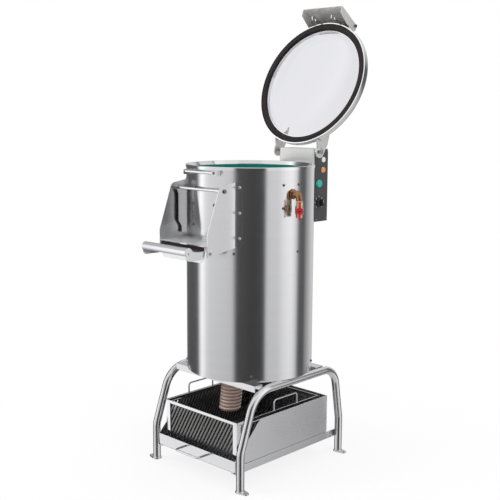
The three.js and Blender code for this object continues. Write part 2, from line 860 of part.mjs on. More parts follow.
function peelingDisc() {
  const rings = waveRings;
  const sides = waveSides;
  const places = [];
  const faces = [];
  const socketTop = discBottom + shaftSocket;
  const socket = shaftRadius + seat;
  const ringOf = (radius, height) => {
    for (let i = 0; i < sides; i += 1) {
      const turn = (2 * Math.PI * i) / sides;
      places.push(radius * Math.cos(turn), radius * Math.sin(turn), height(turn));
    }
  };
  const level = (height) => () => height;
  ringOf(socket, level(socketTop));
  ringOf(socket, level(discBottom));
  ringOf(discRadius, level(discBottom));
  for (let k = 0; k <= rings; k += 1) {
    const share = 1 - k / rings;
    const radius = discHubRadius + (discRadius - discHubRadius) * share;
    const crest = Math.sin(Math.PI * Math.min(share + 1 / rings, 1)) * discWave;
    const dished = discBottom + discEdge - discDish * (1 - share);
    ringOf(radius, (turn) => dished + crest * Math.max(0, Math.cos(discWaves * turn)) ** 2);
  }
  ringOf(discHubRadius / 2, level(discBottom + discEdge + discHubRise - discDish));
  const count = places.length / (3 * sides);
  for (let ring = 0; ring < count - 1; ring += 1) {
    for (let i = 0; i < sides; i += 1) {
      const [a, b] = [ring * sides + i, ring * sides + ((i + 1) % sides)];
      faces.push(a, b, a + sides, b, b + sides, a + sides);
    }
  }
  const inner = places.length / 3;
  places.push(0, 0, socketTop, 0, 0, discBottom + discEdge + discHubRise - discDish);
  for (let i = 0; i < sides; i += 1) {
    const next = (i + 1) % sides;
    faces.push(inner, next, i);
    faces.push(inner + 1, (count - 1) * sides + i, (count - 1) * sides + next);
  }
  const geometry = new THREE.BufferGeometry();
  geometry.setAttribute('position', new THREE.Float32BufferAttribute(places, 3));
  geometry.setIndex(faces);
  return geometry;
}

const rotor = new THREE.Group();
machine.add(rotor);
add('abrasive_disc', peelingDisc(), teal, rotor);
add('disc_shaft', rodUp(
  shaftRadius, pulleyBottom - shaftTail, discBottom + shaftSocket - seat, 0, 0), darkSteel, rotor);

// Bearing housing under the chamber floor, with a ball bearing near each end
const barrelBottom = chamberFloorBottom - seat - bearingBarrel;
const barrelTop = chamberFloorBottom - seat;
add('bearing_housing', turned([
  [bearingOuter, barrelBottom], [bearingBarrelRadius, barrelBottom],
  [bearingBarrelRadius, barrelTop - bearingFlange], [bearingFlangeRadius, barrelTop - bearingFlange],
  [bearingFlangeRadius, barrelTop], [bearingOuter, barrelTop],
], smallSides), darkSteel);

function bearing(bottom) {
  const inner = shaftRadius + runningGap;
  const outer = bearingOuter - seat;
  return turned([
    [inner, bottom], [outer, bottom], [outer, bottom + bearingWidth], [inner, bottom + bearingWidth],
  ], smallSides);
}

add('lower_bearing', bearing(barrelBottom + bearingInset), polishedSteel);
add('upper_bearing', bearing(barrelTop - bearingInset - bearingWidth), polishedSteel);

// Pulleys share one section: hub, web and a grooved rim
function pulley(radius, hub, bore, sides, x, y) {
  const middle = pulleyBottom + pulleyWidth / 2;
  const half = pulleyWidth / 2;
  const rimInner = radius - pulleyRim;
  const grooveFloor = radius - beltThickness - seat;
  const web = pulleyWeb / 2;
  const solid = rimInner < hub + pulleyWeb;
  const inside = solid
    ? [[bore, middle + half], [bore, middle - half]]
    : [
      [rimInner, middle + half], [rimInner, middle + web], [hub, middle + web], [hub, middle + half],
      [bore, middle + half], [bore, middle - half],
      [hub, middle - half], [hub, middle - web], [rimInner, middle - web], [rimInner, middle - half],
    ];
  return turned([
    ...inside,
    [radius, middle - half], [radius, middle - beltGroove / 2], [grooveFloor, middle - beltGroove / 2],
    [grooveFloor, middle + beltGroove / 2], [radius, middle + beltGroove / 2], [radius, middle + half],
  ], sides).translate(x, y, 0);
}

add('driven_pulley', pulley(
  drivenPulleyRadius, pulleyHub, shaftRadius + seat, wheelSides, 0, 0), darkSteel, rotor);

const motorRotor = new THREE.Group();
machine.add(motorRotor);
add('drive_pulley', pulley(
  drivePulleyRadius, driveHub, motorShaftRadius + seat, smallSides, 0, motorOffsetY),
darkSteel, motorRotor);

// Belt: the outline round both pulleys, taken at its outer and inner faces
function beltLoop(near, far) {
  const lean = Math.acos((near - far) / motorOffsetY);
  const points = [];
  // The flats, not the corners, keep to the radius, so that the belt clears a round pulley
  const arc = (radius, y, from, to) => {
    const reach = radius / Math.cos((to - from) / smallSides / 2);
    for (let i = 0; i <= smallSides; i += 1) {
      const turn = from + ((to - from) * i) / smallSides;
      points.push([reach * Math.sin(turn), y + reach * Math.cos(turn)]);
    }
  };
  arc(near, 0, lean, 2 * Math.PI - lean);
  arc(far, motorOffsetY, -lean, lean);
  return outline(points);
}

const beltShape = beltLoop(drivenPulleyRadius, drivePulleyRadius);
beltShape.holes.push(beltLoop(drivenPulleyRadius - beltThickness, drivePulleyRadius - beltThickness));
const beltBottom = pulleyBottom + (pulleyWidth - beltWidth) / 2;
add('drive_belt', slabZ(beltShape, beltBottom, beltBottom + beltWidth), blackRubber);

// Motor: hung by four posts under the chamber floor, its shaft pointing down
const motorPlateTop = pulleyBottom + pulleyWidth + motorPlateWall + overrun + motorShaftRadius;
const motorPlateBottom = motorPlateTop - motorPlateWall;
const motorBottom = motorPlateTop + seat;
const motorBore = motorShaftRadius + runningGap;

function motorMount() {
  const plate = outline([
    [-motorPlateHalf, motorPlateFrontY], [motorPlateHalf, motorPlateFrontY],
    [motorPlateHalf, motorPlateRearY], [-motorPlateHalf, motorPlateRearY],
  ]);
  plate.holes.push(disc(motorShaftRadius * 2, smallSides, 0, motorOffsetY));
  const posts = [];
  for (const x of [-1, 1]) {
    for (const y of [motorPlateFrontY + motorPostInset, motorPlateRearY - motorPostInset]) {
      posts.push(rodUp(
        motorPostRadius, motorPlateTop - weldDepth, chamberFloorBottom - seat,
        x * (motorPlateHalf - motorPostInset), y, rodSides));
    }
  }
  return join(slabZ(plate, motorPlateBottom, motorPlateTop), ...posts);
}

function motorProfile() {
  const top = motorBottom + motorHeight;
  const ribs = [];
  const ribbed = motorHeight - motorCowl - motorFinDepth * 2;
  for (let i = 0; i < motorFins; i += 1) {
    const low = motorBottom + motorFinDepth + (ribbed * i) / motorFins;
    const high = low + ribbed / motorFins / 2;
    ribs.push([motorRadius, low], [motorRadius, high]);
    ribs.push([motorRadius - motorFinDepth, high]);
    ribs.push([motorRadius - motorFinDepth, low + ribbed / motorFins]);
  }
  return [
    [motorBore, motorBottom], [motorRadius, motorBottom], ...ribs,
    [motorCowlRadius, top - motorCowl], [motorCowlRadius, top - motorFinDepth],
    [motorCowlRadius - motorFinDepth, top], [0, top],
    [0, motorBottom + motorShaftInset + seat], [motorBore, motorBottom + motorShaftInset + seat],
  ];
}

add('motor_mount', motorMount(), brushedSteel);
add('motor_body', turned(motorProfile(), wheelSides).translate(0, motorOffsetY, 0), motorPaint);
add('motor_shaft', rodUp(
  motorShaftRadius, pulleyBottom - shaftTail, motorBottom + motorShaftInset, 0, motorOffsetY),
darkSteel, motorRotor);

// Drain: a pipe from the chamber floor, with a knee, and a ribbed hose over its lower end
const plateTop = drumBottom + basePlateWall;
const kneeRoom = pulleyBottom - shaftTail - plateTop;
const hoseBoreRadius = (drainRadius + seat) / Math.cos(Math.PI / hoseSides);
const hoseTop = plateTop + hoseOverlap;
const pipeRoute = bent([
  at(0, drainOffsetY, chamberFloorBottom - seat),
  at(0, drainOffsetY, plateTop + kneeRoom * drainKneeTopShare),
  at(hoseOffsetX, hoseOffsetY, plateTop + kneeRoom * drainKneeFootShare),
  at(hoseOffsetX, hoseOffsetY, plateTop),
], [drainBend, drainBend]);
add('drain_pipe', tube(pipeRoute, drainRadius, tubeSides, drainRadius - drainWall), brushedSteel);

// Two rings of eight points make a rib, and the bore has a ring at every fifth rib
function ribbedHose() {
  const places = [];
  const faces = [];
  const length = hoseRibs * hosePitch;
  const ringAt = (radius, along) => {
    const share = along / length;
    const lean = share * share;
    for (let i = 0; i < hoseSides; i += 1) {
      const turn = (2 * Math.PI * (i + 0.5)) / hoseSides;
      places.push(
        hoseOffsetX + hoseLeanX * lean + radius * Math.cos(turn),
        hoseOffsetY + hoseLeanY * lean + radius * Math.sin(turn),
        hoseTop - along);
    }
  };
  ringAt(hoseValleyRadius, 0);
  for (let rib = 0; rib < hoseRibs; rib += 1) {
    ringAt(hoseOuterRadius, (rib + 0.45) * hosePitch);
    ringAt(hoseValleyRadius, (rib + 1) * hosePitch);
  }
  for (let rib = hoseRibs; rib > 0; rib -= hoseBoreEvery) ringAt(hoseBoreRadius, rib * hosePitch);
  ringAt(hoseBoreRadius, 0);
  const rings = places.length / (3 * hoseSides);
  for (let ring = 0; ring < rings; ring += 1) {
    const next = (ring + 1) % rings;
    for (let i = 0; i < hoseSides; i += 1) {
      const j = (i + 1) % hoseSides;
      const [a, b] = [ring * hoseSides + i, ring * hoseSides + j];
      const [c, d] = [next * hoseSides + i, next * hoseSides + j];
      faces.push(a, c, b, b, c, d);
    }
  }
  const geometry = new THREE.BufferGeometry();
  geometry.setAttribute('position', new THREE.Float32BufferAttribute(places, 3));
  geometry.setIndex(faces);
  return geometry;
}

add('drain_hose', ribbedHose(), hosePlastic);

// Chute wings: side plates with a flange curved to the drum
const drumTool = drumCore(drumRadius + seat, drumBottom, rimTop);
// The flats of the hole, not its corners, keep the clearance while the door swings
const rodHoleRadius = (rodRadius + seat) / Math.cos(Math.PI / rodSides);
const rodHole = rodX(rodHoleRadius, -wingX - overrun, wingX + overrun, rodY, rodZ, rodSides);

function chuteWing() {
  const x0 = wingX - wingWall / 2;
  const x1 = wingX + wingWall / 2;
  const frontTop = wingRootY - wingTopReach;
  const nose = wingRootY - wingNoseReach;
  const side = new THREE.Shape();
  side.moveTo(wingRootY + linerWall * 2, wingTop);
  side.lineTo(frontTop + wingRound, wingTop - wingTopFall + wingRound * (wingTopFall / wingTopReach));
  side.quadraticCurveTo(
    frontTop, wingTop - wingTopFall, frontTop - wingRound / 3, wingTop - wingTopFall - wingRound);
  side.lineTo(nose, wingKeel - wingKeelRise + wingNoseHeight);
  side.lineTo(nose, wingKeel - wingKeelRise);
  side.lineTo(wingRootY + linerWall * 2, wingKeel);
  const plate = slabX(outline(side.getPoints(3).map((point) => [point.x, point.y])), x0, x1);
  const from = Math.asin(x0 / drumRadius);
  const flange = curvedWall(
    drumRadius + seat, drumRadius + seat + wingFlangeWall, from,
    from + wingFlangeWidth / drumRadius, wingKeel, wingTop, bendSteps);
  return cut(join(plate, flange), drumTool, rodHole);
}

const rightWing = chuteWing();
add('chute_right_wing', rightWing, brushedSteel);
add('chute_left_wing', mirrored(rightWing), brushedSteel);

// Tray: the floor between the wings, a valley, a rolled lip, its end plates and an apron
const noseY = wingRootY - wingNoseReach;
const trayFrontTop = trayTop - trayFall;
const lipY = noseY - trayLipReach;
const lipZ = trayFrontTop - trayLipDrop;

function trayRoute() {
  const start = degrees(trayLipStart);
  const route = new THREE.Path();
  route.moveTo(-drumRadius * trayValleyShare, trayTop);
  route.lineTo(noseY, trayFrontTop);
  route.quadraticCurveTo(
    noseY - trayLipReach * trayValleyShare, trayFrontTop - trayValleyDrop,
    lipY + trayLipRadius * Math.cos(start), lipZ + trayLipRadius * Math.sin(start));
  route.absarc(lipY, lipZ, trayLipRadius, start, degrees(trayLipEnd), false);
  return route.getPoints(trayCurveSteps).map((point) => [point.x, point.y]);
}

function chuteTray() {
  const route = trayRoute();
  const floorHalf = wingX - wingWall / 2 - seat;
  const whole = slabX(sheet(route.reverse(), trayWall), -floorHalf, floorHalf);
  const tooWide = [-1, 1].map((side) => {
    const near = Math.min(side * trayLipHalf, side * (floorHalf + overrun));
    const far = Math.max(side * trayLipHalf, side * (floorHalf + overrun));
    return block(near, far, lipY - 2 * trayLipRadius, noseY - trayEndWall, lipZ - 2 * trayLipRadius,
      trayTop + trayLipRadius);
  });
  const rim = route.filter(([y]) => y < noseY - trayEndWall);
  const bottom = trayFrontTop - trayEndDepth - trayLipDrop;
  const lobe = outline([
    ...rim,
    [noseY - trayEndWall, trayFrontTop - trayWall],
    [noseY - trayEndWall, bottom],
    [lipY + trayEndRound, bottom],
    [lipY, bottom + trayWall],
    [lipY - trayEndRound / 2, bottom + trayEndRound / 2],
  ]);
  const ends = [
    slabX(lobe, trayLipHalf - trayEndWall, trayLipHalf),
    slabX(lobe, -trayLipHalf, trayEndWall - trayLipHalf),
  ];
  const half = trayLipHalf;
  const apronTop = trayFrontTop - trayWall / 2;
  const apron = slabY(outline([
    [-half, apronTop], [-half, apronTop - apronDepth + apronChamfer],
    [-half + apronChamfer, apronTop - apronDepth], [half - apronChamfer, apronTop - apronDepth],
    [half, apronTop - apronDepth + apronChamfer], [half, apronTop],
  ]), noseY - trayEndWall - apronWall, noseY - trayEndWall);
  return cut(join(cut(whole, ...tooWide), ...ends, apron), drumTool);
}

add('chute_tray', chuteTray(), brushedSteel);

// Door rod, with collars that keep the door between the wings
const armX = wingX - doorArmInset;
const armOuter = armX + doorArmWall / 2;
const wingInner = wingX - wingWall / 2;
const wingOuter = wingX + wingWall / 2;
const rodHalf = wingOuter + seat + rodHead;
add('door_rod', join(
  rodX(rodRadius, -rodHalf, rodHalf, rodY, rodZ, rodSides),
  rodX(rodHeadRadius, wingOuter + seat, rodHalf, rodY, rodZ, rodSides),
  rodX(rodHeadRadius, -rodHalf, -wingOuter - seat, rodY, rodZ, rodSides),
  rodX(rodHeadRadius, armOuter + seat, wingInner - seat, rodY, rodZ, rodSides),
  rodX(rodHeadRadius, -wingInner + seat, -armOuter - seat, rodY, rodZ, rodSides),
), polishedSteel);

// Door: a plate curved to the drum between two arms that hang from the rod
const door = new THREE.Group();
machine.add(door);
const doorBottom = trayTop + doorFloorClear;
const doorTop = rodZ - doorTopDrop;
const sealInner = drumRadius + doorGap;
const doorInner = sealInner + doorSealWall + seat;
const doorOuter = doorInner + doorWall;
const doorSpan = Math.asin(armX / doorOuter);

function doorPanel() {
  const plate = curvedWall(doorInner, doorOuter, -doorSpan, doorSpan, doorBottom, doorTop, 2 * bendSteps);
  const back = -doorOuter * Math.cos(doorSpan);
  const front = rodY - doorArmUpperFront;
  const arm = outline([
    [back, doorBottom], [back, doorTop], [rodY + doorArmBoss / 2, rodZ + doorArmBoss],
    [rodY - doorArmBoss / 2, rodZ + doorArmBoss], [rodY - doorArmBoss, rodZ],
    [front, rodZ - doorArmBoss * 2], [front, rodZ - doorArmStepHigh],
    [front + doorArmLowerFront, rodZ - doorArmStepLow], [front + doorArmLowerFront, doorBottom],
  ]);
  const right = slabX(arm, armX - doorArmWall / 2, armX + doorArmWall / 2);
  return cut(join(plate, right, mirrored(right)), rodHole);
}

function doorSeal() {
  const span = doorSpan - seat / 2 / doorInner;
  const lip = doorSealBand / drumRadius;
  const whole = curvedWall(
    sealInner, doorInner - seat, -span, span, doorBottom, doorTop, 2 * bendSteps);
  const window = curvedWall(
    sealInner - overrun, doorInner + overrun, -span + lip, span - lip,
    doorBottom + doorSealBand, doorTop - doorSealBand, 2 * bendSteps);
  return cut(whole, window);
}

add('door_panel', doorPanel(), brushedSteel, door);
add('door_seal', doorSeal(), blackRubber, door);

// Latch keeper: a bar between two ears on the front of the drum
function latchKeeper() {
  const z0 = keeperBarZ - keeperEarDrop;
  const z1 = rimBottom - seat;
  const nose = keeperBarY - keeperNose;
  const root = -drumRadius * Math.cos(Math.asin(keeperX / drumRadius));
  const ear = slabX(outline([
    [root + linerWall, z0], [root + linerWall, z1], [nose + keeperNose / 2, z1],
    [nose, z1 - keeperNose / 2], [nose, z0 + keeperNose / 2], [nose + keeperNose / 2, z0],
  ]), keeperX - keeperWall / 2, keeperX + keeperWall / 2);
  const side = cut(ear, drumTool);
  const bar = rodX(keeperBarRadius, -keeperX, keeperX, keeperBarY, keeperBarZ);
  return join(side, mirrored(side), bar);
}

add('latch_keeper', latchKeeper(), polishedSteel);

// Lid, drawn closed about its hinge and swung open as a whole
const lid = new THREE.Group();
lid.position.set(0, hingeY, hingeZ);
lid.rotation.x = -degrees(lidOpen);
machine.add(lid);
const closedLid = new THREE.Group();
closedLid.position.set(0, -hingeY, -hingeZ);
lid.add(closedLid);

const sealBottom = rimTop + seat;
const sealTop = sealBottom + sealHeight;
const sealInnerRadius = sealOuterRadius - sealWidth;
const domeFlangeBottom = sealTop + seat;
const domeFlangeTop = domeFlangeBottom + domeFlange;
const lidFlangeBottom = domeFlangeTop + seat;
const lidFlangeTop = lidFlangeBottom + lidRimWall;
const lidFlangeInner = lidRimRadius - lidFlangeReach;
const domeRadius = lidFlangeInner - seat;
const lidSkirtBottom = rimTop + lidSkirtClear;

add('lid_seal', turned([
  [sealInnerRadius, sealBottom + sealRound], [sealInnerRadius + sealRound, sealBottom],
  [sealOuterRadius - sealRound, sealBottom], [sealOuterRadius, sealBottom + sealRound],
  [sealOuterRadius, sealTop], [sealInnerRadius, sealTop],
], lidSides), blackRubber, closedLid);
add('lid_rim', turned([
  [lidRimRadius - lidRimWall, lidSkirtBottom], [lidRimRadius, lidSkirtBottom],
  [lidRimRadius, lidFlangeTop - rimRound], [lidRimRadius - rimRound, lidFlangeTop],
  [lidFlangeInner, lidFlangeTop], [lidFlangeInner, lidFlangeBottom],
  [lidRimRadius - lidRimWall, lidFlangeBottom],
], lidSides), polishedSteel, closedLid);

// The dome's skin: a short neck and a shallow cap, its inner side drawn back down
const domeNeckTop = domeFlangeTop + domeNeck;

function domeCap(spare) {
  const points = [[domeRadius + spare, domeNeckTop]];
  for (let i = 1; i <= domeSteps; i += 1) {
    const turn = (Math.PI / 2) * (i / domeSteps);
    points.push([
      (domeRadius + spare) * Math.cos(turn), domeNeckTop + (domeRise + spare) * Math.sin(turn),
    ]);
  }
  points[points.length - 1][0] = 0;
  return points;
}

const domeOutside = (spare) => [
  [0, domeFlangeBottom], [domeRadius + spare, domeFlangeBottom], ...domeCap(spare),
];

add('lid_dome', turned([
  [domeRadius - domeWall, domeFlangeBottom], [domeRadius + domeFlangeReach, domeFlangeBottom],
  [domeRadius + domeFlangeReach, domeFlangeTop], [domeRadius, domeFlangeTop],
  ...domeCap(0), ...domeCap(-domeWall).reverse(),
], lidSides), clearPlastic, closedLid);

// Hinge plates: stand on the lid's flange and reach back to the pin
function hingePlate() {
  const x0 = hingePlateX - hingePlateWall / 2;
  const x1 = hingePlateX + hingePlateWall / 2;
  const edgeY = Math.sqrt(lidRimRadius ** 2 - x0 ** 2) + seat * 2;
  const base = lidFlangeTop + seat;
  const plate = new THREE.Shape();
  plate.moveTo(edgeY - hingePlateFoot + hingePlateHeel, base);
  plate.lineTo(edgeY, base);
  plate.lineTo(edgeY, lidSkirtBottom + rimRound);
  plate.absarc(hingeY, hingeZ, hingeHubRadius, degrees(-120), degrees(80), false);
  plate.lineTo(edgeY, base + hingePlateRise);
  plate.lineTo(edgeY - hingePlateFoot + hingePlateHeel, base + hingePlateRise - hingePlateWall);
  plate.holes.push(disc(hingePinRadius + seat, smallSides, hingeY, hingeZ));
  return cut(slabX(plate, x0, x1), turned(domeOutside(seat), lidSides));
}

add('lid_right_hinge_plate', hingePlate(), polishedSteel, closedLid);
add('lid_left_hinge_plate', mirrored(hingePlate()), polishedSteel, closedLid);

// Hinge pin, with a nut outside each plate
const nutX = hingePlateX + hingePlateWall / 2 + seat;
add('lid_hinge_pin', join(
  rodX(hingePinRadius, -nutX - hingeNut, nutX + hingeNut, hingeY, hingeZ),
  rodX(hingeNutRadius, nutX, nutX + hingeNut, hingeY, hingeZ, bendSteps),
  rodX(hingeNutRadius, -nutX - hingeNut, -nutX, hingeY, hingeZ, bendSteps),
), polishedSteel);

// Latch housing: a sheet hood over the lid's front edge, open underneath
const latchRearZ = lidFlangeTop + seat;

function latchHousing() {
  const rearTop = latchShoulderY + latchTopDepth;
  const roof = sheet([
    [latchBackY, latchRearZ], [rearTop, latchTop],
    [latchShoulderY, latchTop - latchWall], [latchNoseY, latchBottom],
  ].reverse(), latchWall);
  const cheek = outline([
    [latchNoseY, latchBottom], [latchNoseY + latchMouth, latchBottom + latchWall],
    [latchHeelY, rimTop + latchHeelDrop], [latchHeelY, latchRearZ], [latchBackY, latchRearZ],
    [rearTop, latchTop], [latchShoulderY, latchTop - latchWall],
  ]);
  const right = slabX(cheek, latchHalfWidth - latchWall, latchHalfWidth);
  const hood = join(slabX(roof, -latchHalfWidth, latchHalfWidth), right, mirrored(right));
  const lidTool = rodUp(lidRimRadius + seat, lidSkirtBottom - overrun, latchRearZ, 0, 0, lidSides);
  const pinHole = rodX(
    latchPinRadius + seat, -latchHalfWidth - overrun, latchHalfWidth + overrun, latchPinY, latchPinZ);
  return cut(hood, lidTool, pinHole);
}

add('latch_housing', latchHousing(), polishedSteel, closedLid);
add('latch_pin', join(
  rodX(latchPinRadius, -latchHalfWidth - latchKnob, latchHalfWidth + latchKnob, latchPinY, latchPinZ),
  rodX(latchKnobRadius, latchHalfWidth + seat, latchHalfWidth + latchKnob, latchPinY, latchPinZ),
  rodX(latchKnobRadius, -latchHalfWidth - latchKnob, -latchHalfWidth - seat, latchPinY, latchPinZ),
), darkSteel, closedLid);

// Latch hook: two J-shaped arms on a sleeve, which reach under the keeper bar
function latchHook() {
  const inner = keeperBarY - keeperBarRadius - hookBarGap;
  const outer = inner - hookShank;
  const throat = keeperBarZ - keeperBarRadius - hookBarGap;
  const tip = keeperBarY + hookNoseReach;
  const barTop = keeperBarZ + keeperBarRadius + hookBarGap;
  const arm = outline([
    [inner, barTop], [inner + hookShank, barTop + hookShank], [latchPinY + hookBossRadius, latchPinZ],
    [latchPinY + hookBossRadius / 2, latchPinZ + hookBossRadius],
    [latchPinY - hookBossRadius / 2, latchPinZ + hookBossRadius],
    [latchPinY - hookBossRadius, latchPinZ], [outer, throat - hookNoseDepth / 2],
    [inner, throat - hookNoseCam], [tip, throat - hookNoseDepth / 2], [tip, throat], [inner, throat],
  ]);
  const sleeveEnds = [hookLeftX - hookWall / 2, hookRightX + hookWall / 2];
  const arms = [hookLeftX, hookRightX].map((x) => slabX(arm, x - hookWall / 2, x + hookWall / 2));
  const sleeve = rodX(hookSleeveRadius, ...sleeveEnds, latchPinY, latchPinZ);
  const bore = rodX(
    latchPinRadius + seat, hookLeftX - hookWall - overrun, hookRightX + hookWall + overrun,
    latchPinY, latchPinZ);
  return cut(join(sleeve, ...arms), bore);
}

add('latch_hook', latchHook(), polishedSteel, closedLid);

// Control housing: a box open at the back, its cover, and the stand-off from the drum
const panelX = housingHalfWidth + seat;
const housingRearY = housingFrontY + housingDepth;
const lampPlace = (drop) => [housingFrontY + lampY, housingTop - drop];
const buttonPlace = [housingFrontY + buttonY, housingTop - buttonDrop];
const knobPlace = [housingFrontY + knobY, housingTop - knobDrop];
const stemHole = controlStem + seat;
const bezelStem = buttonRadius - housingWall;
const controlHoles = [
  [lampPlace(whiteLampDrop), stemHole], [lampPlace(orangeLampDrop), stemHole],
  [buttonPlace, bezelStem + seat], [knobPlace, knobShaftRadius + seat],
];
const holeTools = controlHoles.map(([[y, z], radius]) =>
  rodX(radius, housingHalfWidth - controlStemDepth, panelX + overrun, y, z));

function controlHousing() {
  const corner = housingCorner;
  const plan = new THREE.Shape();
  plan.moveTo(-housingHalfWidth, housingRearY);
  plan.lineTo(-housingHalfWidth, housingFrontY + corner);
  plan.absarc(-housingHalfWidth + corner, housingFrontY + corner, corner, Math.PI, 1.5 * Math.PI, false);
  plan.absarc(housingHalfWidth - corner, housingFrontY + corner, corner, 1.5 * Math.PI, 2 * Math.PI, false);
  plan.lineTo(housingHalfWidth, housingRearY);
  const box = slabZ(outline(plan.getPoints(2).map((point) => [point.x, point.y])), housingBottom, housingTop);
  const hollow = block(
    -housingHalfWidth + housingWall, housingHalfWidth - housingWall,
    housingFrontY + housingWall, housingRearY + overrun,
    housingBottom + housingWall, housingTop - housingWall);
  const pinHole = rodX(
    hingePinRadius + seat, -housingHalfWidth - overrun, housingHalfWidth + overrun, hingeY, hingeZ);
  const glandHole = rodUp(
    glandThread + seat, housingBottom - overrun, housingBottom + overrun, glandX,
    housingFrontY + housingDepth / 2);
  return cut(box, hollow, pinHole, glandHole, ...holeTools);
}

add('control_housing', controlHousing(), brushedSteel);
add('housing_back_cover', block(
  -housingHalfWidth, housingHalfWidth, housingRearY + seat, housingRearY + seat + coverWall,
  housingBottom, housingTop), brushedSteel);

function standoff() {
  const z0 = rimTop - standoffBottomDrop;
  const channel = outline([
    [-standoffHalf, drumRadius / 2], [-standoffHalf, housingFrontY - seat],
    [standoffHalf, housingFrontY - seat], [standoffHalf, drumRadius / 2],
    [standoffHalf - standoffWall, drumRadius / 2],
    [standoffHalf - standoffWall, housingFrontY - seat - standoffWall],
    [-standoffHalf + standoffWall, housingFrontY - seat - standoffWall],
    [-standoffHalf + standoffWall, drumRadius / 2],
  ]);
  return cut(slabZ(channel, z0, z0 + standoffHeight), drumTool);
}

add('housing_standoff', standoff(), brushedSteel);

function controlPanel() {
  const y0 = housingFrontY + panelInset;
  const y1 = housingRearY - panelInset;
  const z0 = housingBottom + panelInset;
  const z1 = housingTop - panelInset;
  const plate = new THREE.Shape();
  plate.moveTo(y0, z1);
  plate.lineTo(y0, z0);
  plate.lineTo(y1, z0);
  plate.absarc(y1 - panelCorner, z1 - panelCorner, panelCorner, 0, Math.PI / 2, false);
  const shape = outline(plate.getPoints(2).map((point) => [point.x, point.y]));
  const pinTool = rodX(
    hingePinRadius + seat, housingHalfWidth - overrun, panelX + panelWall + overrun, hingeY, hingeZ);
  return cut(slabX(shape, panelX, panelX + panelWall), pinTool, ...holeTools);
}

add('control_panel', controlPanel(), panelGrey);

const panelFace = panelX + panelWall + seat;

function lamp(drop) {
  const [y, z] = lampPlace(drop);
  return turnedX([
    [0, -controlStemDepth - panelWall], [controlStem, -controlStemDepth - panelWall], [controlStem, 0],
    [lampBezel, 0], [lampBezel, lampBezelDepth], [lampRadius, lampBezelDepth],
    [lampRadius / 2, lampBezelDepth + lampDome], [0, lampBezelDepth + lampDome],
  ], smallSides, panelFace, y, z);
}

add('white_lamp', lamp(whiteLampDrop), whiteLens);
add('orange_lamp', lamp(orangeLampDrop), orangeLens);

const capStem = bezelStem - panelWall;
add('button_bezel', turnedX([
  [capStem + seat, -controlStemDepth - panelWall], [bezelStem, -controlStemDepth - panelWall],
  [bezelStem, 0], [buttonBezelRadius, 0], [buttonBezelRadius, buttonBezelDepth],
  [buttonRadius + buttonRun, buttonBezelDepth], [buttonRadius + buttonRun, seat * 2],
  [capStem + seat, seat * 2],
], smallSides, panelFace, ...buttonPlace), polishedSteel);
add('start_button', turnedX([
  [0, -controlStemDepth - panelWall], [capStem, -controlStemDepth - panelWall],
  [capStem, buttonBezelDepth], [buttonRadius, buttonBezelDepth],
  [buttonRadius, buttonProud - 1.5 * seat], [buttonRadius - housingWall, buttonProud], [0, buttonProud],
], smallSides, panelFace, ...buttonPlace), greenCap);

function selectorKnob() {
  const skirt = turnedX([
    [0, 0], [knobRadius, 0], [knobRadius, knobSkirt], [knobRadius - knobSkirt, knobSkirt * 2],
    [0, knobSkirt * 2],
  ], smallSides, panelFace + knobLift, ...knobPlace);
  const [y, z] = knobPlace;
  const x0 = panelFace + knobLift + knobSkirt;
  const grip = block(
    x0, panelFace + knobLift + knobDepth, y - knobGripHalf, y + knobGripHalf,
    z - knobRadius + knobSkirt, z + knobRadius - knobSkirt);
  const shaft = rodX(
    knobShaftRadius, panelX - controlStemDepth, panelFace + knobLift + knobSkirt, y, z, rodSides);
  return join(skirt, grip, shaft);
}

add('selector_knob', selectorKnob(), blackPlastic);

const glandY = housingFrontY + housingDepth / 2;
add('cable_gland', turned([
  [glandBore, housingBottom - glandHeight], [glandThread, housingBottom - glandHeight],
  [glandRadius, housingBottom - glandHeight + glandBore], [glandRadius, housingBottom - seat],
  [glandThread, housingBottom - seat], [glandThread, housingBottom + glandInset],
  [glandBore, housingBottom + glandInset],
], smallSides).translate(glandX, glandY, 0), blackPlastic);

// Water inlet: a pipe through the drum wall that turns down into a ball valve
const inletX = drumRadius + inletReach;
const inletEnd = inletZ - inletFall;
const inletRoute = bent([
  at(linerInner - inletInside, inletY, inletZ), at(inletX, inletY, inletZ), at(inletX, inletY, inletEnd),
], [inletElbow]);
const nutSeat = drumRadius + seat * 2;
add('water_inlet_pipe', join(
  tube(inletRoute, inletRadius, tubeSides, inletBore),
  cut(
    rodX(inletNutRadius, nutSeat, nutSeat + inletNut, inletY, inletZ, bendSteps),
    rodX(inletRadius - weldDepth, nutSeat - overrun, nutSeat + inletNut + overrun, inletY, inletZ)),
), brass);

const valveTop = inletEnd - seat;
const valveMiddle = valveTop - valveNut - valveBody / 2;
const valveBottom = valveTop - valveNut - valveBody - valveTail;
const stemEnd = inletX + valveStem;

// The valve is screwed round until its lever faces the front right corner
const turnedAway = (geometry) => geometry
  .translate(-inletX, -inletY, 0).rotateZ(-degrees(valveAway)).translate(inletX, inletY, 0);

function valve() {
  const half = valveBody / 2;
  const body = turned([
    [valveBore, valveBottom], [valveTailRadius, valveBottom], [valveTailRadius, valveMiddle - half],
    [valveBodyRadius, valveMiddle - half / 2],
    [valveBodyRadius, valveMiddle + half / 2], [valveNutRadius, valveMiddle + half],
    [valveNutRadius, valveTop], [valveBore, valveTop],
  ], smallSides).translate(inletX, inletY, 0);
  const boss = rodX(valveStemBoss, inletX + valveBore * 1.5, stemEnd - leverWall, inletY, valveMiddle);
  return join(body, boss);
}

add('valve_body', turnedAway(valve()), brass);

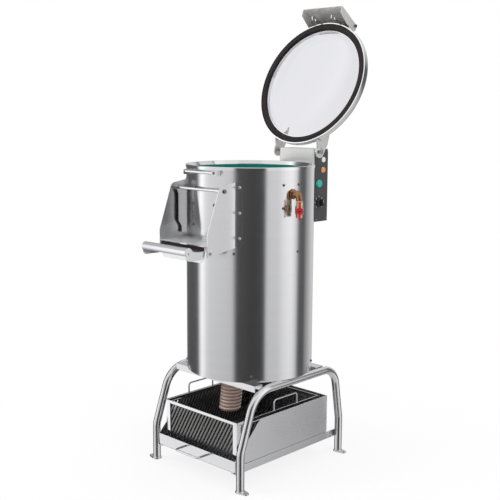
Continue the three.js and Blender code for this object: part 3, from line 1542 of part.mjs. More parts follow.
// Valve lever: a butterfly handle, upright when the water runs
function valveLever() {
  const x0 = stemEnd - leverWall + leverClear;
  const x1 = x0 + leverWall;
  const hub = rodX(leverHubRadius, x0, x1, inletY, valveMiddle);
  const bar = new THREE.Shape();
  const end = leverHalf - leverHalfWidth;
  bar.absarc(inletY, valveMiddle + end, leverHalfWidth, 0, Math.PI, false);
  bar.absarc(inletY, valveMiddle - end, leverHalfWidth, Math.PI, 2 * Math.PI, false);
  const wings = new THREE.ExtrudeGeometry(bar, {
    depth: leverWall,
    bevelEnabled: false,
    curveSegments: bendSteps,
  }).applyMatrix4(alongX).translate(x0, 0, 0);
  const nut = rodX(leverNutRadius, x1 - weldDepth, x1 + leverNut, inletY, valveMiddle, bendSteps);
  return join(hub, wings, nut);
}

add('valve_lever', turnedAway(valveLever()), redPaint);

// The origin is on the floor, under the middle of the whole machine
machine.updateMatrixWorld(true);
const extent = new THREE.Box3().setFromObject(machine, true);
machine.position.set(
  -(extent.min.x + extent.max.x) / 2, -(extent.min.y + extent.max.y) / 2, -extent.min.z);
machine.updateMatrixWorld(true);

export default machine;
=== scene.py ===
# %% [markdown]
# # A potato peeler, from its frame to its finish
# The machine is a steel drum on two bent tube arches. Its lid is propped open at the back, a
# chute with a hanging door leaves it at the front, and a drawer with a mesh basket stands under it.
# Every moving part has its place already, in a fixed frame. This lesson makes the surfaces that
# people see: sheets with soft edges, turned rings, bent tubes, mesh, bolts and their finishes.

# %% Load the frame
import json
import math

import bpy
from mathutils import Matrix, Vector


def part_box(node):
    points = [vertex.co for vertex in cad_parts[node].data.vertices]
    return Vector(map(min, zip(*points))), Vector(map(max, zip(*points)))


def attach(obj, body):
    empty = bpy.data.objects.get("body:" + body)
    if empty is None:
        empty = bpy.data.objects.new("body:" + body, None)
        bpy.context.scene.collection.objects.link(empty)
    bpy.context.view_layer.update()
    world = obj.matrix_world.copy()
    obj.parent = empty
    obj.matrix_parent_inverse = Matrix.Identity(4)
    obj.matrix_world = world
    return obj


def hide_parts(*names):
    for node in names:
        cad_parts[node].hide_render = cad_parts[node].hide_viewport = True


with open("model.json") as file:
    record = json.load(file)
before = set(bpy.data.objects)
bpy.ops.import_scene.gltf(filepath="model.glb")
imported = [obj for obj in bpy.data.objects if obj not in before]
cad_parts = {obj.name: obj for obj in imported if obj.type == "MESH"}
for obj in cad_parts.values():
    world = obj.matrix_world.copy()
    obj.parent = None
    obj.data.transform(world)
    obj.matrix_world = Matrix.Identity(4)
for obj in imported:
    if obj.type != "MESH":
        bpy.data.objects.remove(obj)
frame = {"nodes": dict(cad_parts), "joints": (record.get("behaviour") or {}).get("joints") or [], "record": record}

nodes = frame["nodes"]
joints = {joint["name"]: joint for joint in frame["joints"]}
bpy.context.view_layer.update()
mm = 0.001
print("nodes in the frame:", len(nodes))

# %% [markdown]
# ## Where things are
# The drum's axis is the natural centre of the machine, so sizes are easiest to read from there.
# The helper `spot` takes millimetres from that axis and from the floor, and gives a place in
# metres in the frame. `extent` goes the other way: it reads a node of the frame in millimetres.
# Neighbouring pieces that don't touch keep the same small gap.

# %% Measuring from the drum's axis
shell_low, shell_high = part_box("outer_shell")
AXIS = Vector(((shell_low.x + shell_high.x) / 2, (shell_low.y + shell_high.y) / 2, 0))
DRUM = (shell_high.x - shell_low.x) / 2
RIM_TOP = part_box("rim_ring")[1].z
DRUM_BOTTOM = shell_low.z
X = Vector((1, 0, 0))
Y = Vector((0, 1, 0))
Z = Vector((0, 0, 1))
GAP = 0.3


def spot(x, y, z):
    """A place in metres from millimetres off the drum's axis and above the floor."""
    return Vector((AXIS.x + x * mm, AXIS.y + y * mm, z * mm))


def on_drum(angle, z, out=0.0):
    """A place on the drum's face, the angle in degrees from the front towards +X."""
    turn = math.radians(angle)
    reach = DRUM / mm + out
    return spot(reach * math.sin(turn), -reach * math.cos(turn), z)


def off_drum(angle):
    """The way that points straight out of the drum at that angle."""
    turn = math.radians(angle)
    return Vector((math.sin(turn), -math.cos(turn), 0))


def extent(node, axis):
    """Where a node begins and ends on one axis, in mm from the drum's axis or the floor."""
    return [(getattr(corner, axis) - getattr(AXIS, axis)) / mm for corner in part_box(node)]


def midway(node, axis):
    return sum(extent(node, axis)) / 2


def half_width(node):
    left, right = extent(node, "x")
    return (right - left) / 2


rim = RIM_TOP / mm
drum_r = DRUM / mm
print("drum radius and rim height in mm:", round(drum_r, 1), round(rim, 1))

# %% [markdown]
# ## The camera
# The picture was taken from the machine's front right corner, a little above its middle and from
# more than three metres away, which is why upright edges look almost parallel. A long lens does
# the same here. The camera is turned by three plain angles instead of being aimed by hand.

# %% Camera
CAMERA_DISTANCE = 3335.6
CAMERA_HEIGHT = 1337.3
CAMERA_AROUND = math.radians(43.98)
CAMERA_DOWN = math.radians(8.93)
CAMERA_ROLL = math.radians(0.33)
SENSOR = 36.0
LENS = 889.2 / 500 * SENSOR

bpy.ops.object.select_all(action="DESELECT")
bpy.ops.object.camera_add(location=spot(
    CAMERA_DISTANCE * math.sin(CAMERA_AROUND), -CAMERA_DISTANCE * math.cos(CAMERA_AROUND), CAMERA_HEIGHT))
camera = bpy.context.object
camera.name = "front_right_camera"
camera.data.sensor_width = SENSOR
camera.data.lens = LENS
camera.data.clip_end = 60
aim = Matrix.Rotation(CAMERA_AROUND, 3, "Z") @ Matrix.Rotation(math.pi / 2 - CAMERA_DOWN, 3, "X")
camera.rotation_euler = (aim @ Matrix.Rotation(CAMERA_ROLL, 3, "Z")).to_euler()
bpy.context.scene.camera = camera
print("camera at", [round(v, 3) for v in camera.location], "lens", round(LENS, 1))

# %% [markdown]
# ## Helpers for modelling
# Operators act on whatever is selected, so each helper first selects exactly one piece. `edit`
# opens a piece with everything selected, `pick` with the faces that look the right way. `apply`
# adds a modifier, sets it and makes it real at once, so that every finished piece is a plain mesh.

# %% Selecting and applying
SMOOTH = math.radians(35)


def wake(piece):
    bpy.ops.object.select_all(action="DESELECT")
    piece.select_set(True)
    bpy.context.view_layer.objects.active = piece


def edit(piece, kind=None):
    """Enters edit mode with everything selected, as corners, edges or faces if a kind is given."""
    wake(piece)
    bpy.ops.object.mode_set(mode="EDIT")
    if kind:
        bpy.ops.mesh.select_mode(type=kind)
    bpy.ops.mesh.select_all(action="SELECT")


def done():
    bpy.ops.object.mode_set(mode="OBJECT")


def pick(piece, test):
    """Enters edit mode with only the faces selected whose direction passes the test."""
    edit(piece, "FACE")
    bpy.ops.mesh.select_all(action="DESELECT")
    done()
    for face in piece.data.polygons:
        face.select = test(face.normal)
    bpy.ops.object.mode_set(mode="EDIT")


def started(name, add, **settings):
    """A fresh piece from one of the add operators."""
    bpy.ops.object.select_all(action="DESELECT")
    add(**settings)
    piece = bpy.context.object
    piece.name = piece.data.name = name
    return piece


def apply(piece, kind, **settings):
    wake(piece)
    modifier = piece.modifiers.new(kind.lower(), kind)
    for name, value in settings.items():
        setattr(modifier, name, value)
    bpy.ops.object.modifier_apply(modifier=modifier.name)
    return piece


def broken(piece, width, segments=2, angle=30):
    """Breaks every edge that is sharper than the angle, by a bevel of that width in mm."""
    return apply(piece, "BEVEL", width=width * mm, segments=segments, limit_method="ANGLE",
                 angle_limit=math.radians(angle))


def smooth(piece, angle=SMOOTH):
    """Smooth shading over small angles, weighted so that large flat faces stay flat."""
    wake(piece)
    bpy.ops.object.shade_smooth_by_angle(angle=angle)
    return apply(piece, "WEIGHTED_NORMAL", keep_sharp=True, weight=80)


def still(piece):
    """Moves a piece's place into its mesh, so that the object itself sits at the origin."""
    wake(piece)
    bpy.ops.object.transform_apply(location=True, rotation=True, scale=True)
    return piece


def tidy(piece):
    """Merges doubled corners and turns all faces outwards."""
    edit(piece)
    bpy.ops.mesh.remove_doubles(threshold=0.01 * mm)
    bpy.ops.mesh.normals_make_consistent(inside=False)
    done()
    return piece


def together(name, pieces):
    bpy.ops.object.select_all(action="DESELECT")
    for piece in pieces:
        piece.select_set(True)
    bpy.context.view_layer.objects.active = pieces[0]
    if len(pieces) > 1:
        bpy.ops.object.join()
    pieces[0].name = pieces[0].data.name = name
    return pieces[0]


def copied(piece, matrix):
    """A copy with its own mesh, set elsewhere."""
    twin = piece.copy()
    twin.data = piece.data.copy()
    bpy.context.collection.objects.link(twin)
    twin.data.transform(matrix)
    return twin


def settle(piece, body, material, *stands_for, slot=None):
    """Gives a finished piece its body and its finish, and hides the nodes it stands for. The slot is looked up but
    not kept.
    """
    slot = slot or SLOT_OF[material.name]
    piece.data.materials.clear()
    piece.data.materials.append(material)
    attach(piece, body)
    if stands_for:
        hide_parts(*stands_for)
    return piece


# %% [markdown]
# ## Shapes that keep coming back
# Most of the machine is made of five kinds of shape. Turned rings are drawn as a chain of corners
# and spun. Tubes follow a route with rounded corners. Sheets start as an outline that is filled
# and extruded. Boxes start as a cube. Sheets that are only cut and bent come from the frame: a
# copy gets its corners merged and its edges broken by a small bevel.

# %% Turned shapes
ROUND = 128


def drawn(name, points):
    """A chain of edges: one corner, then an extrude for each step."""
    piece = started(name, bpy.ops.mesh.primitive_plane_add, size=mm, location=points[0])
    edit(piece, "VERT")
    bpy.ops.mesh.merge(type="CENTER")
    for start, end in zip(points, points[1:]):
        bpy.ops.mesh.extrude_region_move(TRANSFORM_OT_translate={"value": end - start})
    done()
    return still(piece)


def turned(name, profile, centre=AXIS, steps=ROUND):
    """A closed profile of [radius, height] pairs, in mm, spun about an upright axis."""
    points = [Vector((centre.x + r * mm, centre.y, h * mm)) for r, h in profile + [profile[0]]]
    piece = drawn(name, points)
    edit(piece)
    bpy.ops.mesh.spin(steps=steps, angle=2 * math.pi, center=centre, axis=Z)
    done()
    return smooth(tidy(piece))


def turned_about(name, profile, place, way, steps=48):
    """The same, about any axis: heights run from the place along the way."""
    piece = turned(name, profile, Vector((0, 0, 0)), steps)
    lay = Z.rotation_difference(way).to_matrix().to_4x4()
    piece.data.transform(Matrix.Translation(place) @ lay)
    return piece


def both_ends(half, low, high):
    """A profile with two equal ends: its first half, then that half upside down."""
    return half + [(r, low + high - h) for r, h in half[::-1]]


def rod(name, place, way, radius, length, edge=0.6, steps=32):
    """A round bar with broken edges."""
    half = [(0, 0), (radius - edge, 0), (radius, edge)]
    return turned_about(name, both_ends(half, 0, length), place, way, steps)


# %% Tubes along a route
def rounded_route(corners, radii, steps=10):
    """Corners replaced by arcs, each with its own radius in mm."""
    route = [corners[0]]
    for before, corner, after, radius in zip(corners, corners[1:], corners[2:], radii):
        back = (before - corner).normalized()
        ahead = (after - corner).normalized()
        half = back.angle(ahead) / 2
        middle = (back + ahead).normalized()
        centre = corner + middle * (radius * mm / math.sin(half))
        start = corner + back * (radius * mm / math.tan(half)) - centre
        axis = back.cross(ahead).normalized()
        for step in range(steps + 1):
            turn = Matrix.Rotation(-(math.pi - 2 * half) * step / steps, 3, axis)
            route.append(centre + turn @ start)
    route.append(corners[-1])
    return route


def tube(name, route, radius, sides=6):
    """A round wire or tube along the route, with closed ends."""
    curve = bpy.data.curves.new(name, "CURVE")
    curve.dimensions = "3D"
    line = curve.splines.new("POLY")
    line.points.add(len(route) - 1)
    for point, place in zip(line.points, route):
        point.co = (*place, 1)
    curve.bevel_depth = radius * mm
    curve.bevel_resolution = sides
    curve.use_fill_caps = True
    piece = bpy.data.objects.new(name, curve)
    bpy.context.collection.objects.link(piece)
    wake(piece)
    bpy.ops.object.convert(target="MESH")
    return smooth(tidy(bpy.context.object), math.radians(50))


# %% Sheets from an outline
def plate(name, corners, thickness, edge=0.5, segments=2):
    """A flat outline of corners, filled and extruded by the thickness vector, edges broken."""
    piece = tidy(drawn(name, corners + [corners[0]]))
    edit(piece, "EDGE")
    bpy.ops.mesh.edge_face_add()
    bpy.ops.mesh.extrude_region_move(TRANSFORM_OT_translate={"value": thickness})
    done()
    tidy(piece)
    if edge:
        broken(piece, edge, segments)
    return smooth(piece)


def upright(x, line):
    """Places from pairs of Y and Z in mm, all at one X."""
    return [spot(x, y, z) for y, z in line]


def side_plate(name, x, line, wall, edge=0.5, segments=2):
    """A plate that faces X, from its outline in Y and Z."""
    return plate(name, upright(x, line), wall * mm * X, edge, segments)


def strip(name, line, thickness, across, edge=0.4):
    """A bent sheet: a line of places swept across, given a wall, and its edges broken."""
    piece = drawn(name, line)
    edit(piece, "EDGE")
    bpy.ops.mesh.extrude_region_move(TRANSFORM_OT_translate={"value": across})
    done()
    apply(piece, "SOLIDIFY", thickness=thickness * mm, offset=0, use_even_offset=True)
    tidy(piece)
    if edge:
        broken(piece, edge, angle=50)
    return smooth(piece)


def box(name, low, high, edge=0.6, segments=2):
    """A block between two corners, with broken edges."""
    piece = still(started(name, bpy.ops.mesh.primitive_cube_add, size=1, location=(low + high) / 2,
                          scale=high - low))
    if edge:
        apply(piece, "BEVEL", width=edge * mm, segments=segments)
        smooth(piece)
    return piece


def carved(piece, *cutters):
    """Cuts shapes out of a piece and deletes them."""
    for cutter in cutters:
        apply(piece, "BOOLEAN", object=cutter, operation="DIFFERENCE", solver="EXACT")
        bpy.data.objects.remove(cutter)
    return piece


def softened(node, width=0.5, segments=2, angle=30):
    """A copy of a frame node with merged corners, flat faces and broken edges."""
    piece = bpy.data.objects.new(node + "_sheet", nodes[node].data.copy())
    bpy.context.collection.objects.link(piece)
    edit(piece)
    bpy.ops.mesh.remove_doubles(threshold=0.02 * mm)
    bpy.ops.mesh.dissolve_limited(angle_limit=math.radians(1))
    done()
    edit(broken(piece, width, segments, angle))
    bpy.ops.mesh.dissolve_degenerate(threshold=0.01 * mm)
    bpy.ops.mesh.quads_convert_to_tris()
    done()
    return smooth(piece)


print("helpers are ready")

# %% [markdown]
# ## Effects that finishes share
# Two effects return in many finishes, so each is a node group with named sockets. `brushed` makes
# the fine level scratches of ground stainless steel: noise that is squeezed hard in height and
# stretched around. `smudged` makes soft patches, as from hands and cleaning cloths. Nodes are
# filled in by name: a socket is linked, and anything else is set as a plain value.

# %% Filling in nodes
def feed(tree, value, socket):
    if isinstance(value, bpy.types.NodeSocket):
        tree.links.new(value, socket)
    else:
        socket.default_value = value


def fill_in(tree, node, **values):
    """Fills in a node by name. From_Min means the input From Min; other names are settings."""
    for name, value in values.items():
        title = name.replace("_", " ")
        if title in node.inputs:
            feed(tree, value, node.inputs[title])
        else:
            setattr(node, name, value)
    return node


def add_node(tree, kind, *firsts, **values):
    """A new node. What comes before the names goes to its first inputs in turn."""
    node = fill_in(tree, tree.nodes.new(kind), **values)
    for value, socket in zip(firsts, node.inputs):
        feed(tree, value, socket)
    return node


def maths(tree, operation, *terms):
    return add_node(tree, "ShaderNodeMath", *terms, operation=operation).outputs[0]


def ranged(tree, value, low, high, start=0.0, end=1.0):
    """Maps start..end to low..high, and holds the ends."""
    node = add_node(tree, "ShaderNodeMapRange", Value=value, From_Min=start, From_Max=end)
    return fill_in(tree, node, To_Min=low, To_Max=high).outputs["Result"]


def blended(tree, mask, first, second):
    """A colour that runs from the first to the second with the mask."""
    node = add_node(tree, "ShaderNodeMix", data_type="RGBA", Factor=mask, A=first, B=second)
    return node.outputs["Result"]


def shade(colour, share=1.0):
    """A share of a colour, with the fourth number that sockets ask for."""
    return (*(channel * share for channel in colour), 1)


# %% Shared node groups
def new_group(name, inputs, outputs):
    group = bpy.data.node_groups.new(name, "ShaderNodeTree")
    for title, kind, default in inputs:
        socket = group.interface.new_socket(name=title, in_out="INPUT", socket_type=kind)
        if default is not None:
            socket.default_value = default
    for title in outputs:
        group.interface.new_socket(name=title, in_out="OUTPUT", socket_type="NodeSocketFloat")
    start = group.nodes.new("NodeGroupInput")
    end = group.nodes.new("NodeGroupOutput")
    return group, start.outputs, end


def make_brushed():
    group, start, end = new_group(
        "brushed", [("Place", "NodeSocketVector", None), ("Fineness", "NodeSocketFloat", 1.0)],
        ["Scratch", "Band"])
    stretch = add_node(group, "ShaderNodeVectorMath", start["Place"], (6, 6, 900), operation="MULTIPLY")
    fine = add_node(group, "ShaderNodeVectorMath", stretch.outputs[0], operation="SCALE",
                    Scale=start["Fineness"])
    noise = add_node(group, "ShaderNodeTexNoise", Vector=fine.outputs[0], Scale=1.0, Detail=3.0,
                     Roughness=0.6)
    wide = add_node(group, "ShaderNodeVectorMath", start["Place"], (2, 2, 90), operation="MULTIPLY")
    slow = add_node(group, "ShaderNodeTexNoise", Vector=wide.outputs[0], Scale=1.0, Detail=2.0,
                    Roughness=0.5)
    fill_in(group, end, Scratch=noise.outputs["Fac"], Band=slow.outputs["Fac"])
    return group


def make_smudged():
    group, start, end = new_group(
        "smudged", [("Place", "NodeSocketVector", None), ("Size", "NodeSocketFloat", 6.0)],
        ["Patch", "Speck"])
    patch = add_node(group, "ShaderNodeTexNoise", Vector=start["Place"], Scale=start["Size"],
                     Detail=4.0, Roughness=0.55, Distortion=0.4)
    speck = add_node(group, "ShaderNodeTexNoise", Vector=start["Place"], Scale=420.0, Detail=2.0,
                     Roughness=0.6)
    fill_in(group, end, Patch=ranged(group, patch.outputs["Fac"], 0.0, 1.0, 0.35, 0.7),
            Speck=speck.outputs["Fac"])
    return group


BRUSHED = make_brushed()
SMUDGED = make_smudged()
print("node groups:", BRUSHED.name, SMUDGED.name)

# %% [markdown]
# ## Finishes
# Stainless steel has no colour of its own to speak of: it shows what stands around it. What makes
# it read as brushed is a small, streaky change of roughness. The plastics and the rubber need the
# opposite, a quiet colour with a slight change over the surface and a fine bump.

# %% Making a finish
def blank_finish(name, colour, metallic, roughness):
    """A finish with plain values, its node tree, its shader and the places on the object."""
    material = bpy.data.materials.new(name)
    material.use_nodes = True
    tree = material.node_tree
    shader = tree.nodes["Principled BSDF"]
    fill_in(tree, shader, Base_Color=shade(colour), Metallic=metallic, Roughness=roughness)
    return material, tree, shader, tree.nodes.new("ShaderNodeTexCoord").outputs["Object"]


def effect(tree, group, place, **values):
    return add_node(tree, "ShaderNodeGroup", node_tree=group, Place=place, **values).outputs


def bumped(tree, shader, height, strength, distance):
    node = add_node(tree, "ShaderNodeBump", Height=height, Strength=strength, Distance=distance)
    fill_in(tree, shader, Normal=node.outputs["Normal"])


# %% Steel finishes
HAND_SIZE = 7.0
SCRATCH_DEPTH = 0.05 * mm


def steel(name, colour, roughness, streak, smear, grain=0.05, fineness=1.0, metallic=1.0,
          bright_from=None):
    """Steel with a fine brushed line. Behind bright_from on Y, in metres, it is rolled brighter."""
    material, tree, shader, place = blank_finish(name, colour, metallic, roughness)
    lines = effect(tree, BRUSHED, place, Fineness=fineness)
    hands = effect(tree, SMUDGED, place, Size=HAND_SIZE)
    rough = maths(tree, "ADD", ranged(tree, lines["Scratch"], roughness - streak, roughness + streak),
                  ranged(tree, hands["Patch"], 0.0, smear))
    if bright_from is not None:
        axes = add_node(tree, "ShaderNodeSeparateXYZ", place).outputs
        rough = maths(tree, "ADD", rough, ranged(
            tree, axes["Y"], 0.0, -0.6 * roughness, bright_from - 1 * mm, bright_from))
    band = blended(tree, lines["Band"], shade(colour, 0.975), shade(colour, 1.02))
    fill_in(tree, shader, Base_Color=band, Roughness=rough)
    bumped(tree, shader, lines["Scratch"], grain, SCRATCH_DEPTH)
    return material


SHEET_COLOUR = (0.80, 0.80, 0.81)
WING_EDGE = AXIS.y - 206 * mm
BRUSHED_STEEL = steel("brushed_stainless_sheet", (0.72, 0.72, 0.73), 0.15, 0.04, 0.03, 0.04)
SHEET_STEEL = steel("rolled_stainless_sheet", SHEET_COLOUR, 0.27, 0.02, 0.04, 0.015)
WING_STEEL = steel("wing_sheet", SHEET_COLOUR, 0.27, 0.02, 0.03, 0.015, bright_from=WING_EDGE)
POLISHED_STEEL = steel("polished_stainless", (0.78, 0.78, 0.79), 0.10, 0.03, 0.04, 0.02, 0.5)
TUBE_STEEL = steel("ground_tube", (0.74, 0.74, 0.75), 0.16, 0.03, 0.04, 0.02)
SATIN_STEEL = steel("satin_stainless", (0.76, 0.76, 0.765), 0.40, 0.03, 0.05, 0.02, metallic=0.6)
PALE_STEEL = steel("pale_satin_steel", (0.80, 0.78, 0.77), 0.22, 0.03, 0.05, 0.02, metallic=0.6)
DARK_STEEL = steel("machined_steel", (0.24, 0.24, 0.25), 0.32, 0.08, 0.08, 0.1)
BOLT_STEEL = steel("bolt_steel", (0.50, 0.50, 0.51), 0.22, 0.04, 0.1, 0.02)
MESH_STEEL = steel("punched_stainless", (0.23, 0.226, 0.222), 0.32, 0.05, 0.1, 0.02)
print("steels are ready")

# %% [markdown]
# The other finishes are dielectrics, apart from the brass. Each opaque one gets its colour from a
# mask, so that it is never one flat value, and most get a bump at the scale of their own surface:
# grit on the liner, orange peel on paint, sand-cast pores on brass.

# %% Plastics, rubber, paint and brass
def coloured(name, colour, roughness, variation=0.15, pore=0.05, coat=0.0, gloss=0.5):
    material, tree, shader, place = blank_finish(name, colour, 0.0, roughness)
    hands = effect(tree, SMUDGED, place, Size=18.0)
    patchy = blended(tree, hands["Patch"], shade(colour, 1 - variation), shade(colour))
    rough = ranged(tree, hands["Patch"], roughness + 0.06, roughness)
    fill_in(tree, shader, Base_Color=patchy, Roughness=rough, Specular_IOR_Level=gloss,
            Coat_Weight=coat, Coat_Roughness=0.08)
    bumped(tree, shader, hands["Speck"], pore, 0.2 * mm)
    return material


def gritty(name, colour):
    """Bonded grit: a cell pattern for the grains over a slow change of colour."""
    material, tree, shader, place = blank_finish(name, colour, 0.0, 0.85)
    cells = add_node(tree, "ShaderNodeTexVoronoi", Vector=place, Scale=520.0).outputs["Distance"]
    hands = effect(tree, SMUDGED, place, Size=9.0)
    fill_in(tree, shader, Base_Color=blended(tree, cells, shade(colour, 1.15), shade(colour, 0.6)),
            Roughness=ranged(tree, hands["Patch"], 0.9, 0.7))
    bumped(tree, shader, cells, 0.6, 0.8 * mm)
    return material


def clear(name, colour):
    """Clear sheet plastic: light passes, and only the edges and the reflections show."""
    material, tree, shader, place = blank_finish(name, colour, 0.0, 0.03)
    hands = effect(tree, SMUDGED, place, Size=5.0)
    fill_in(tree, shader, Roughness=ranged(tree, hands["Patch"], 0.0, 0.015), IOR=1.45,
            Transmission_Weight=1.0)
    return material


def brass(name, colour, roughness, pore):
    material, tree, shader, place = blank_finish(name, colour, 1.0, roughness)
    hands = effect(tree, SMUDGED, place, Size=40.0)
    fill_in(tree, shader, Base_Color=blended(tree, hands["Patch"], shade(colour, 0.55), shade(colour)),
            Roughness=ranged(tree, hands["Patch"], roughness + 0.15, roughness))
    bumped(tree, shader, hands["Speck"], pore, 0.3 * mm)
    return material


HOSE_LOW, HOSE_HIGH = extent("drain_hose", "z")
HOSE_RIBS = 14
RIB_PITCH = (HOSE_HIGH - HOSE_LOW) / HOSE_RIBS


def hose_finish():
    """Soft, slightly clear brown PVC, pale on the crest of each rib as a painted highlight, and its own brown in
    the grooves.
    """
    brown = (0.42, 0.26, 0.20)
    pale = (0.86, 0.70, 0.64)
    material, tree, shader, place = blank_finish("brown_ribbed_pvc", brown, 0.0, 0.2)
    turn = 2 * math.pi / RIB_PITCH
    height = add_node(tree, "ShaderNodeSeparateXYZ", place).outputs["Z"]
    turns = maths(tree, "MULTIPLY", height, turn / mm)
    # The wave along the height paints a highlight on each rib's crest: pale at the crests, the base brown in the
    # grooves.
    wave = maths(tree, "SINE", maths(tree, "SUBTRACT", turns, turn * HOSE_HIGH - math.radians(135)))
    fill_in(tree, shader, Transmission_Weight=0.15, Coat_Weight=0.5, Coat_Roughness=0.1,
            Base_Color=blended(tree, ranged(tree, wave, -0.2, 1.0), shade(brown), shade(pale)))
    return material


LINER_TEAL = gritty("bonded_teal_grit", (0.0, 0.24, 0.20))
RUBBER = coloured("black_seal_rubber", (0.026, 0.020, 0.021), 0.5, 0.3, 0.08, gloss=0.2)
CLEAR = clear("clear_lid_plastic", (0.80, 0.80, 0.83))
PANEL_GREY = coloured("matt_grey_panel", (0.060, 0.060, 0.062), 0.55, 0.12, 0.1)
WHITE_LENS = coloured("white_lens", (0.86, 0.86, 0.88), 0.15, 0.05, 0.0, coat=0.6)
ORANGE_LENS = coloured("orange_lens", (1.0, 0.30, 0.02), 0.18, 0.15, 0.0, coat=0.6)
GREEN_CAP = coloured("green_cap", (0.0, 0.52, 0.36), 0.3, 0.1, 0.03, coat=0.2)
BLACK_PLASTIC = coloured("black_plastic", (0.018, 0.018, 0.018), 0.42, 0.2, 0.1)
WHITE_PRINT = coloured("white_print", (0.75, 0.75, 0.74), 0.5, 0.1, 0.03)
RED_PAINT = coloured("red_paint", (0.62, 0.008, 0.02), 0.28, 0.15, 0.12, coat=0.5)
MOTOR_PAINT = coloured("blue_grey_motor_paint", (0.07, 0.09, 0.11), 0.45, 0.15, 0.1)
BRASS = brass("turned_brass", (0.66, 0.36, 0.18), 0.24, 0.03)
CAST_BRASS = brass("cast_brass", (0.78, 0.62, 0.40), 0.26, 0.15)
HOSE_PVC = hose_finish()
print("plastics, paint and brass are ready")

# %% [markdown]
# Each finish belongs to one material slot of the frame. Only the control housing has a finish
# from another slot than its own. The first finish of a slot is the one for the frame's own nodes.

# %% Slots and their finishes
FINISHES = {
    "brushed_stainless": [SHEET_STEEL, BRUSHED_STEEL, WING_STEEL, SATIN_STEEL],
    "polished_stainless": [POLISHED_STEEL, TUBE_STEEL, PALE_STEEL, BOLT_STEEL],
    "dark_steel": [DARK_STEEL],
    "mesh_steel": [MESH_STEEL],
    "abrasive_teal": [LINER_TEAL],
    "black_rubber": [RUBBER],
    "clear_plastic": [CLEAR],
    "ribbed_pvc": [HOSE_PVC],
    "panel_grey": [PANEL_GREY],
    "white_lens": [WHITE_LENS, WHITE_PRINT],
    "orange_lens": [ORANGE_LENS],
    "green_cap": [GREEN_CAP],
    "black_plastic": [BLACK_PLASTIC],
    "red_paint": [RED_PAINT],
    "brass": [BRASS, CAST_BRASS],
    "motor_paint": [MOTOR_PAINT]}
SLOT_OF = {finish.name: slot for slot, finishes in FINISHES.items() for finish in finishes}
print("slots with finishes:", len(FINISHES))

# %% [markdown]
# ## Stand
# Each side of the stand is one tube, bent four times: it leaves the floor upright, leans inwards,
# runs level under the drum and comes down again. A route with rounded corners gives exactly that.
# The feet are plates with an ear for an anchor bolt: two discs under one convex hull, then a hole.

# %% Arches and feet
LEG_X = 227
TUBE_R = 15
RAIL_Z = DRUM_BOTTOM / mm - GAP - TUBE_R
KINK_Z = 140
FOOT_Y = (-278, 275)
SHOULDER_Y = (-205, 240)
FOOT_THICK = 5
FOOT_R = 18
EAR_R = 11
EAR_OUT = 28


def foot_disc(x, y, radius, corners):
    return still(started("foot", bpy.ops.mesh.primitive_cylinder_add, vertices=corners,
                         radius=radius * mm, depth=FOOT_THICK * mm, location=spot(x, y, FOOT_THICK / 2)))


def foot_plate(x, y):
    """Two discs under one hull, the smaller one with a hole for an anchor bolt."""
    ear_x = x + math.copysign(EAR_OUT, x)
    whole = together("foot", [foot_disc(x, y, FOOT_R, 64), foot_disc(ear_x, y, EAR_R, 48)])
    edit(whole)
    bpy.ops.mesh.convex_hull()
    bpy.ops.mesh.dissolve_limited(angle_limit=math.radians(1))
    done()
    carved(whole, rod("hole", spot(ear_x, y, -5), Z, 4.5, FOOT_THICK + 10))
    return smooth(broken(whole, 0.6))


def weld_bead(place, radius, bead=2.2, way=Z):
    """A rounded weld around a tube's end."""
    profile = [(radius - bead, 0), (radius + bead, 0), (radius + bead * 0.75, bead * 0.8),
               (radius, bead * 1.25), (radius - bead, bead * 1.25)]
    return turned_about("weld", profile, place, way, 40)


def arch(name, side):
    """One bent tube with its two feet and their welds."""
    x = side * LEG_X
    sole = FOOT_THICK - 0.5
    line = [(FOOT_Y[0], sole), (FOOT_Y[0], KINK_Z), (SHOULDER_Y[0], RAIL_Z), (SHOULDER_Y[1], RAIL_Z),
            (FOOT_Y[1], KINK_Z), (FOOT_Y[1], sole)]
    pieces = [tube(name, rounded_route(upright(x, line), [70, 104, 75, 70], 14), TUBE_R, 10)]
    for y in FOOT_Y:
        pieces.append(foot_plate(x, y))
        pieces.append(weld_bead(spot(x, y, FOOT_THICK), TUBE_R))
    return together(name, pieces)


settle(arch("right_arch_tube", 1), "root", TUBE_STEEL, "right_stand_arch")
settle(arch("left_arch_tube", -1), "root", TUBE_STEEL, "left_stand_arch")
print("arches reach", round(RAIL_Z + TUBE_R, 1), "mm")

# %% [markdown]
# ## Cut and bent sheets
# Beams, rails, wings, hinge plates and housings are sheets whose outline is already right in the
# frame. What a real sheet adds is a small radius on every edge, which catches a thin line of
# light. One helper does them all, with a bevel width in mm for each group of sheets.

# %% Sheets with soft edges
SHEETS = [
    ("root", SHEET_STEEL, 1.2, ["front_cross_beam", "rear_cross_beam"]),
    ("root", SHEET_STEEL, 1.0, ["left_drawer_rail", "right_drawer_rail"]),
    ("root", SHEET_STEEL, 0.8, ["housing_standoff", "motor_mount"]),
    ("root", SHEET_STEEL, 0.5, ["base_plate", "chamber_floor"]),
    ("root", WING_STEEL, 0.7, ["chute_left_wing", "chute_right_wing"]),
    ("root", BRUSHED_STEEL, 0.6, ["housing_back_cover"]),
    ("root", PANEL_GREY, 0.5, ["control_panel"]),
    ("lid", PALE_STEEL, 0.9, ["lid_left_hinge_plate", "lid_right_hinge_plate"]),
    ("lid", PALE_STEEL, 0.6, ["latch_housing"]),
    ("latch", POLISHED_STEEL, 0.7, ["latch_hook"])]
for body, material, width, names in SHEETS:
    for node in names:
        settle(softened(node, width), body, material, node)
housing = softened("control_housing", 0.6)
settle(housing, "root", PALE_STEEL, "control_housing", slot="brushed_stainless")
print("sheets with soft edges:", 1 + sum(len(row[-1]) for row in SHEETS))

